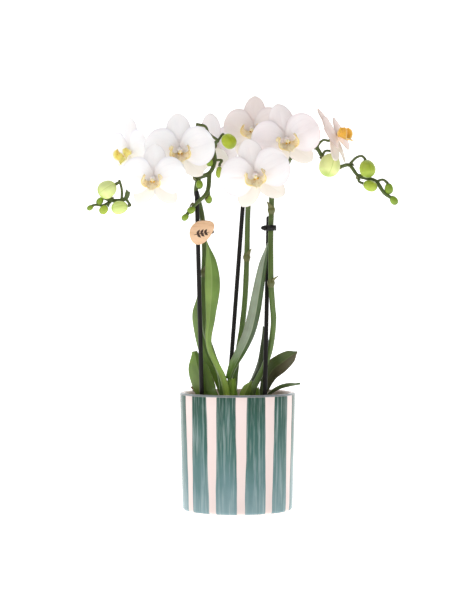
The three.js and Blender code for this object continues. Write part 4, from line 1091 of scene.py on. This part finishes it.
class ORCHID_OT_spikes(bpy.types.Operator):
    """Grow the flower spikes with their branches, joints, scale leaves and tip buds"""
    bl_idname = "orchid.spikes"
    bl_label = "Flower Spikes"

    def execute(self, context):
        settings = context.scene.orchid_plant
        materials = [stalk_skin(settings), bud_skin("tiny", "#84A02C", "#56701C")]
        for name, spike in SPIKES.items():
            skin = Skin()
            skin.tube(spike["stem"], lambda u: STEM * (1.04 - 0.14 * u), sides=20, knobs=0.08)
            for k, branch in enumerate(spike["branches"]):
                skin.tube(branch, lambda u: BRANCH * (1.12 - 0.3 * u), sides=16, knobs=0.14, seed=k + 3)
                self.bracts(skin, branch)
            for k, stalk in enumerate(spike["stalks"]):
                skin.tube(stalk, lambda u: STALK * (1.15 - 0.25 * math.sin(math.pi * u) + 0.2 * u), sides=12,
                          spacing=1.0, seed=k, tone=0.15, knobs=0.1)
            for at, tip in spike["joints"]:
                self.joint(skin, at, tip)
            for at, tip, long in spike["tips"]:
                skin.bud(at, long, 0.76 * long, tip, slot=1, rows=14, cols=18)
            place(skin.build(f"{name}_stalks", materials), "stem", name, slack=0.005)
        return {"FINISHED"}

    def joint(self, skin, at, tip):
        """A swollen ring on the stem and the dry scale leaf that clasps it."""
        at, tip = Vector(at), Vector(tip).normalized()
        skin.tube([at - Vector((0, 0, 4)), at, at + Vector((0, 0, 4))],
                  lambda u: 2.6 + 0.95 * math.sin(math.pi * u) ** 2, sides=20, spacing=0.5, tone=0.8)
        side = tip.cross(Vector((0, 0, 1))).normalized()
        out = Vector((tip.x, tip.y, 0)).normalized()
        spine = [at + out * 2.4 - Vector((0, 0, 2)), at + out * 3.2 + Vector((0, 0, 3)), at + tip * 7,
                 at + tip * 10]
        skin.blade(spine, [side] * 2, [2.6, 2.5, 1.6, 0.3], fold=-0.5, thick=0.6, rows=14, cols=8, tone=1.0)

    def bracts(self, skin, branch):
        """A small pointed scale under each bend of a branch, where a stalk leaves it."""
        curve = smooth_route(branch)
        for k in range(2, len(branch) - 1):
            at = curve(k / (len(branch) - 1))
            forward = (curve(k / (len(branch) - 1) + 0.01) - at).normalized()
            out = forward.orthogonal().normalized() if k % 2 else -forward.orthogonal().normalized()
            side = forward.cross(out)
            spine = [at + out * 1.5 - forward * 1.5, at + out * 2.4 + forward * 1.2,
                     at + out * 2.8 + forward * 4]
            skin.blade(spine, [side] * 2, [1.9, 1.6, 0.2], fold=-0.4, thick=0.5, rows=8, cols=6, tone=0.9)


class ORCHID_OT_stakes(bpy.types.Operator):
    """Push the black stakes into the bark"""
    bl_idname = "orchid.stakes"
    bl_label = "Stakes"

    def execute(self, context):
        material = black_plastic("coated_wire_stake", 0.38, 500.0)
        for side, (entry, top) in STAKES.items():
            way = Vector(top) - Vector(entry)
            foot = Vector(entry) - way.normalized() * STAKE_SEAT
            way = Vector(top) - foot
            skin = Skin()
            points = [foot + way * s for s in (0, 0.33, 0.66, 1)]
            skin.tube(points, lambda u: STAKE * min(1.0, 0.55 + 90 * (1 - u)) ** 0.5, sides=28, spacing=0.9)
            place(skin.build(f"stake_{side}_rod", [material]), "stake_black", f"stake_{side}")
        return {"FINISHED"}


class ORCHID_OT_clips(bpy.types.Operator):
    """Close the black clips round the spikes and their stakes"""
    bl_idname = "orchid.clips"
    bl_label = "Clips"

    def execute(self, context):
        material = black_plastic("nylon_clip_moulded", 0.45, 700.0)
        reach = STEM + CLIP_GAP + CLIP_WALL / 2
        for name, (height, tab_turn) in CLIPS.items():
            a, b = at_height(ROUTES[name], height), at_height(STAKES[name], height)
            way = math.atan2(b.y - a.y, b.x - a.x)
            outline = []
            for centre, start, r in ((b, way - math.pi / 2, STAKE), (a, way + math.pi / 2, STEM)):
                outline += [(centre, start + math.pi * k / 16, r + CLIP_GAP) for k in range(17)]
            half, round_off = CLIP_HEIGHT / 2, 0.4
            sections = []
            for grow, lift in ((0, round_off - half), (0, half - round_off), (round_off, half),
                               (CLIP_WALL - round_off, half), (CLIP_WALL, half - round_off),
                               (CLIP_WALL, round_off - half), (CLIP_WALL - round_off, -half),
                               (round_off, -half)):
                sections.append([c + Vector(((r + grow) * math.cos(t), (r + grow) * math.sin(t), lift))
                                 for c, t, r in outline])
            skin = Skin()
            skin.loft([*sections, sections[0]], caps=False)
            out = Vector((math.cos(tab_turn), math.sin(tab_turn), 0))
            spine = [a + out * (reach + s) for s in (0, 1.5, 3.2, 5)]
            skin.blade(spine, [(0, 0, 1)] * 2, [1.75, 1.75, 1.9, 1.2], thick=1.5, rows=16, cols=8, thin=0.4)
            place(skin.build(f"clip_{name}_band", [material]), "clip_black", f"clip_{name}")
        return {"FINISHED"}


class ORCHID_OT_tag(bpy.types.Operator):
    """Cut the wooden tag with its rounded edge, and mark it with a plain sprig"""
    bl_idname = "orchid.tag"
    bl_label = "Tag"

    def execute(self, context):
        low, high = (Vector(corner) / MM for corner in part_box("tag"))
        centre, size = (low + high) / 2, high.x - low.x
        outline = []
        for arc in TAG_ARCS:
            for k in range(14):
                t = k / 14
                w = (1 - t) ** 3, 3 * t * (1 - t) ** 2, 3 * t * t * (1 - t), t**3
                outline.append(tuple(sum(f * p[i] for f, p in zip(w, arc)) * size for i in (0, 1)))
        middle = Vector((centre.x, 0, low.z + 0.485 * size))
        half = (high.y - low.y) / 2
        edge = [(0.0, -half * 0.4), (0.25, -half * 0.85), (0.8, -half)]
        sections = []
        for inset, depth in [*((inset, -depth) for inset, depth in reversed(edge)), *edge]:
            keep = 1 - inset / (size / 2)
            sections.append([middle + Vector((x * keep, centre.y + depth, z * keep)) for x, z in outline])
        skin = Skin()
        skin.loft(sections)
        place(skin.build("tag_board", [tag_wood()]), "tag_wood", "tag")
        # A printed sprig: a stalk with six plain leaves, 0.1 mm thick, on the face
        skin = Skin()
        face = Vector((middle.x, low.y - 0.05, middle.z))

        def leaf(x, z, turn, long, wide):
            out = Vector((math.cos(turn), 0, math.sin(turn)))
            spine = [face + Vector((x, 0, z)) + out * long * s for s in (0, 0.33, 0.66, 1)]
            side = out.cross(Vector((0, 1, 0)))
            skin.blade(spine, [side] * 2, [0.2, wide, wide * 0.8, 0.15], thick=0.1, rows=10, cols=4)

        leaf(*SPRIG_START, SPRIG_RISE, 14, 0.42)
        for x, turn, long in SPRIG_LEAVES:
            leaf(x, SPRIG_START[1] + SPRIG_RISE * (x - SPRIG_START[0]), turn, long, 1.15)
        piece = skin.build("tag_sprig", [dark_print()])
        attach(piece, "root")
        return {"FINISHED"}


class ORCHID_OT_flowers(bpy.types.Operator):
    """Open the flowers: sepals, petals, and the lip with its column"""
    bl_idname = "orchid.flowers"
    bl_label = "Flowers"

    def execute(self, context):
        settings = context.scene.orchid_flower
        dice = random.Random(context.scene.orchid_plant.seed + 11)
        for name in FLOWERS:
            into = flower_matrix(name)
            # Painted light and shade: each flower gets the white of its place in the light, with a lavender
            # grey painted shade at its edges
            petal = petal_skin(settings, name, *LIT_AND_SHADED_WHITES.get(name, ("#FDFBFD", "#E8E5EF")))
            lip = lip_skin(settings, name, *CREAMS.get(name, ("#FFEFCF", "#F7DF97")))
            skin = Skin()
            # The last number is how much painted shade, the warm grey of sepals in shade, each sepal takes
            self.sepal(skin, into, 90, SEPAL_LENGTH, SEPAL_WIDTH, dice, 0.5, 0.15)
            for hand in (-1, 1):
                self.sepal(skin, into, hand * LOWER_SEPAL_SPREAD - 90, LOWER_SEPAL_LENGTH, LOWER_SEPAL_WIDTH,
                           dice, 0.45, 0.7)
            # The hub behind the sepals, wholly in the painted shade of the sepals
            ring = [2 * math.pi * k / 24 for k in range(24)]
            hub = ((HUB_BACK, 1.8), (HUB_BACK + 0.7, 2.8), (SEPAL_BASE, 3.3), (SEPAL_BASE + 0.9, 2.2))
            skin.loft([[into @ Vector((r * math.cos(t), r * math.sin(t), z)) for t in ring] for z, r in hub],
                      tone=1.0)
            place(skin.build(f"{name}_sepal_whorl", [petal]), "petal", f"{name}_sepals")
            skin = Skin()
            for angle in (PETAL_RISE, 180 - PETAL_RISE):
                self.petal(skin, into, angle, dice)
            place(skin.build(f"{name}_petal_pair", [petal]), "petal", f"{name}_petals")
            skin = Skin()
            self.lip(skin, into)
            place(skin.build(f"{name}_lip_column", [lip, petal]), "lip", f"{name}_lip")
        return {"FINISHED"}

    def sepal(self, skin, into, degrees, length, width, dice, fullest, tone):
        """A sepal: arched, bent back at its tip and widest at "fullest" of its length."""
        out, side = ray(degrees)
        arch, tip, phase = dice.uniform(0.4, 1.1), dice.uniform(-3.9, -2.6), dice.uniform(0, 6)
        spine = [out * (1 + (length - 1) * u)
                 + Vector((0, 0, SEPAL_BASE + arch * 4 * u * (1 - u) + tip * u * u))
                 for u in (0, 0.25, 0.5, 0.75, 1)]

        def half(u):
            if u < fullest:
                return width / 2 * (0.26 + 0.74 * math.sin(math.pi / 2 * u / fullest))
            return width / 2 * max(0.0, 1 - ((u - fullest) / (1 - fullest)) ** 2.3) ** 0.62

        def wave(u, v):
            return 0.5 * v * v * math.sin(5 * u + phase) * u - 0.3 * math.exp(-((v / 0.1) ** 2)) * (1 - u)

        skin.blade(spine, [side] * 2, half, fold=-0.06, thick=PETAL_THICKNESS, rows=30, cols=20, wave=wave,
                   into=into, ease=True, thin=0.75, tone=tone)

    def petal(self, skin, into, degrees, dice):
        """A petal: a narrow base that opens into a broad round blade with a ruffled edge."""
        out, side = ray(degrees)
        arch, tip, phase = dice.uniform(1.2, 2.1), dice.uniform(-1.4, 0.2), dice.uniform(0, 6)
        fullest = 0.52
        spine = [out * (-1.2 + (PETAL_LENGTH + 1.2) * u)
                 + Vector((0, 0, arch * 4 * u * (1 - u) + tip * u * u))
                 for u in (0, 0.25, 0.5, 0.75, 1)]

        def half(u):
            if u < fullest:
                return PETAL_WIDTH / 2 * (0.1 + 0.92 * math.sin(math.pi / 2 * u / fullest) ** 0.95)
            return 1.02 * PETAL_WIDTH / 2 * max(0.0, 1 - ((u - fullest) / (1 - fullest)) ** 2.3) ** 0.5

        def wave(u, v):
            ruffle = 0.7 * v * v * v * math.sin(7 * u + phase) * u
            groove = 0.35 * math.exp(-((v / 0.08) ** 2)) * (1 - u)
            return ruffle + 0.5 * math.sin(4 * v + phase) * u * u - groove

        skin.blade(spine, [side] * 2, half, fold=-0.06, thick=PETAL_THICKNESS, rows=40, cols=36, wave=wave,
                   into=into, ease=True, thin=0.8, tone=0.0)

    def lip(self, skin, into):
        """Column, two side lobes that curl up into a cup, a short middle lobe with a callus, and two
        whiskers."""
        column = [(0, 2.0, COLUMN_BACK + 0.1), (0, 1.6, 3.2), (0, 0.7, 5.4), (0, -0.2, 7.0)]
        scale = into.to_scale()[0]
        skin.tube([into @ Vector(p) for p in column],
                  lambda u: scale * (2.0 + 0.7 * math.sin(2.6 * u)) * min(1.0, 0.25 + 5 * (1 - u)) ** 0.5,
                  sides=20, spacing=0.35, tone=0.05, slot=1)
        skin.bud(into @ Vector((0, -0.3, 6.4)), 1.9 * scale, 1.8 * scale,
                 into.to_3x3() @ Vector((0, -0.5, 1)), tone=0.3, rows=12, cols=18)
        for hand in (-1, 1):
            spine = [(0, -1, COLUMN_BACK + 2.6), (hand * 4.6, -2.8, 6.2), (hand * 7.4, -0.2, 9),
                     (hand * 6.2, 4.6, 10.4)]
            skin.blade(spine, [(0, 0.7, -0.7), (0, 0.5, -0.86)], [1.8, 3.6, 4.8, 5.0, 4.4, 2.4],
                       fold=-0.35 * hand, thick=0.9, rows=24, cols=16, into=into, tone=0.45, ease=True,
                       wave=lambda u, v: 0.35 * math.sin(6 * u + 3 * v) * u)
            callus = [(hand * 0.9, -2.2, 5.2), (hand * 1.2, -1.8, 6.6), (hand * 1.0, -2.4, 7.8)]
            skin.tube([into @ Vector(p) for p in callus],
                      lambda u: scale * 1.1 * math.sin(math.pi * (0.15 + 0.75 * u)),
                      sides=12, spacing=0.3, tone=1.0)
            whisker = [(hand * 0.5, -9.2, 12), (hand * 1.6, -10.2, 12.6), (hand * 2.6, -9.8, 13.4),
                       (hand * 2.6, -8.6, 13.8)]
            skin.tube([into @ Vector(p) for p in whisker], lambda u: scale * 0.4 * (1.1 - 0.8 * u), sides=8,
                      spacing=0.5, tone=0.1)
        middle = [(0, 0, COLUMN_BACK + 2.2), (0, -4.5, 5.6), (0, -7.4, 8.8), (0, -9.4, 12.2)]
        skin.blade(middle, [(1, 0, 0), (1, 0, 0)], [1.8, 3.0, 4.4, 5.4, 5.2, 4.2, 1.2], fold=0.3, thick=1.0,
                   rows=28, cols=16, into=into, tone=0.3, ease=True,
                   wave=lambda u, v: 0.5 * math.exp(-((v / 0.18) ** 2)))


class ORCHID_OT_buds(bpy.types.Operator):
    """Swell the buds"""
    bl_idname = "orchid.buds"
    bl_label = "Buds"

    def execute(self, context):
        for name, (at, long, wide, tip) in BUDS.items():
            skin = Skin()
            skin.bud(at, long, wide, tip, rows=34, cols=48)
            place(skin.build(f"{name}_sepals", [bud_skin(name, *LIT_AND_SHADED_LIMES.get(name, ("#A9BD3E", "#7F982A")))]),
                  "bud", name)
        return {"FINISHED"}


class ORCHID_OT_stage(bpy.types.Operator):
    """Set the white stage, the soft lights and the camera"""
    bl_idname = "orchid.stage"
    bl_label = "Stage"

    def execute(self, context):
        settings = context.scene.orchid_stage
        skin = Skin()
        # Large enough for a camera on any side of the plant to stand on it
        width, front, back, bend, top = 12000, -9000, 4500, 1500, 10500
        profile = [(front, 0), (-400, 0), (0, 0), (back - bend, 0)]
        profile += [(back - bend + bend * math.sin(t), bend - bend * math.cos(t)) for t in
                    [math.pi / 2 * k / 12 for k in range(1, 13)]]
        profile += [(back, top)]
        skin.loft([[Vector((x, y, z - 0.05)) for x in (-width, -400, 400, width)] for y, z in profile],
                  close=False, caps=False)
        floor = skin.build("paper_sweep", [white_backdrop()])
        for name, at, size, power, tint in (
            ("key", (-0.9, -1.1, 1.15), 0.9, settings.key, (1.0, 0.99, 0.98)),
            ("fill", (1.3, -1.2, 0.6), 1.2, settings.key * 0.3, (1.0, 0.97, 0.95)),
            ("top", (0.1, 0.3, 1.5), 1.2, settings.key * 0.5, (1, 1, 1)),
            ("back", (0.7, 0.9, 0.7), 0.8, settings.key * 0.2, (1, 1, 1)),
        ):
            light = bpy.data.lights.new(name, "AREA")
            light.shape, light.size, light.energy, light.color = "SQUARE", size, power, tint
            lamp = bpy.data.objects.new(name, light)
            lamp.location = at
            lamp.rotation_euler = (Vector((0, 0, 0.2)) - Vector(at)).to_track_quat("-Z", "Y").to_euler()
            context.scene.collection.objects.link(lamp)
        world = bpy.data.worlds.new("studio")
        context.scene.world = world
        world.use_nodes = True
        background = world.node_tree.nodes["Background"]
        background.inputs["Color"].default_value = (1, 1, 1, 1)
        background.inputs["Strength"].default_value = 0.15
        camera = bpy.data.objects.new("camera", bpy.data.cameras.new("camera"))
        camera.data.lens, camera.data.sensor_width = CAMERA_LENS, CAMERA_SENSOR
        camera.data.clip_end = 20
        camera.location = (0, -settings.distance, settings.height)
        camera.rotation_euler = (math.radians(90 - CAMERA_TILT), 0, 0)
        context.scene.collection.objects.link(camera)
        context.scene.camera = camera
        context.scene.view_settings.view_transform = "Standard"
        return {"FINISHED"}


class ORCHID_PT_panel(bpy.types.Panel):
    """Lists the pieces of the orchid"""
    bl_idname = "ORCHID_PT_panel"
    bl_label = "Potted Orchid"
    bl_space_type = "VIEW_3D"
    bl_region_type = "UI"
    bl_category = "Orchid"

    def draw(self, context):
        for group in ("orchid_pot", "orchid_plant", "orchid_flower", "orchid_stage"):
            box = self.layout.box()
            settings = getattr(context.scene, group)
            for prop in settings.__annotations__:
                box.prop(settings, prop)
        for operator in OPERATORS:
            self.layout.operator(operator.bl_idname)


SETTINGS = {
    "orchid_pot": OrchidPotSettings,
    "orchid_plant": OrchidPlantSettings,
    "orchid_flower": OrchidFlowerSettings,
    "orchid_stage": OrchidStageSettings,
}
OPERATORS = (
    ORCHID_OT_cover_pot, ORCHID_OT_grow_pot, ORCHID_OT_bark, ORCHID_OT_roots, ORCHID_OT_crowns,
    ORCHID_OT_leaves, ORCHID_OT_spikes, ORCHID_OT_stakes, ORCHID_OT_clips, ORCHID_OT_tag,
    ORCHID_OT_flowers, ORCHID_OT_buds, ORCHID_OT_stage,
)


def register():
    for group in SETTINGS.values():
        bpy.utils.register_class(group)
    for name, group in SETTINGS.items():
        setattr(bpy.types.Scene, name, PointerProperty(type=group))
    for cls in (*OPERATORS, ORCHID_PT_panel):
        bpy.utils.register_class(cls)


def unregister():
    for cls in reversed((*OPERATORS, ORCHID_PT_panel)):
        bpy.utils.unregister_class(cls)
    for name in SETTINGS:
        delattr(bpy.types.Scene, name)
    for group in reversed(SETTINGS.values()):
        bpy.utils.unregister_class(group)


def main():
    register()
    for operator in OPERATORS:
        group, name = operator.bl_idname.split(".")
        getattr(getattr(bpy.ops, group), name)()


if __name__ == "__main__":
    main()
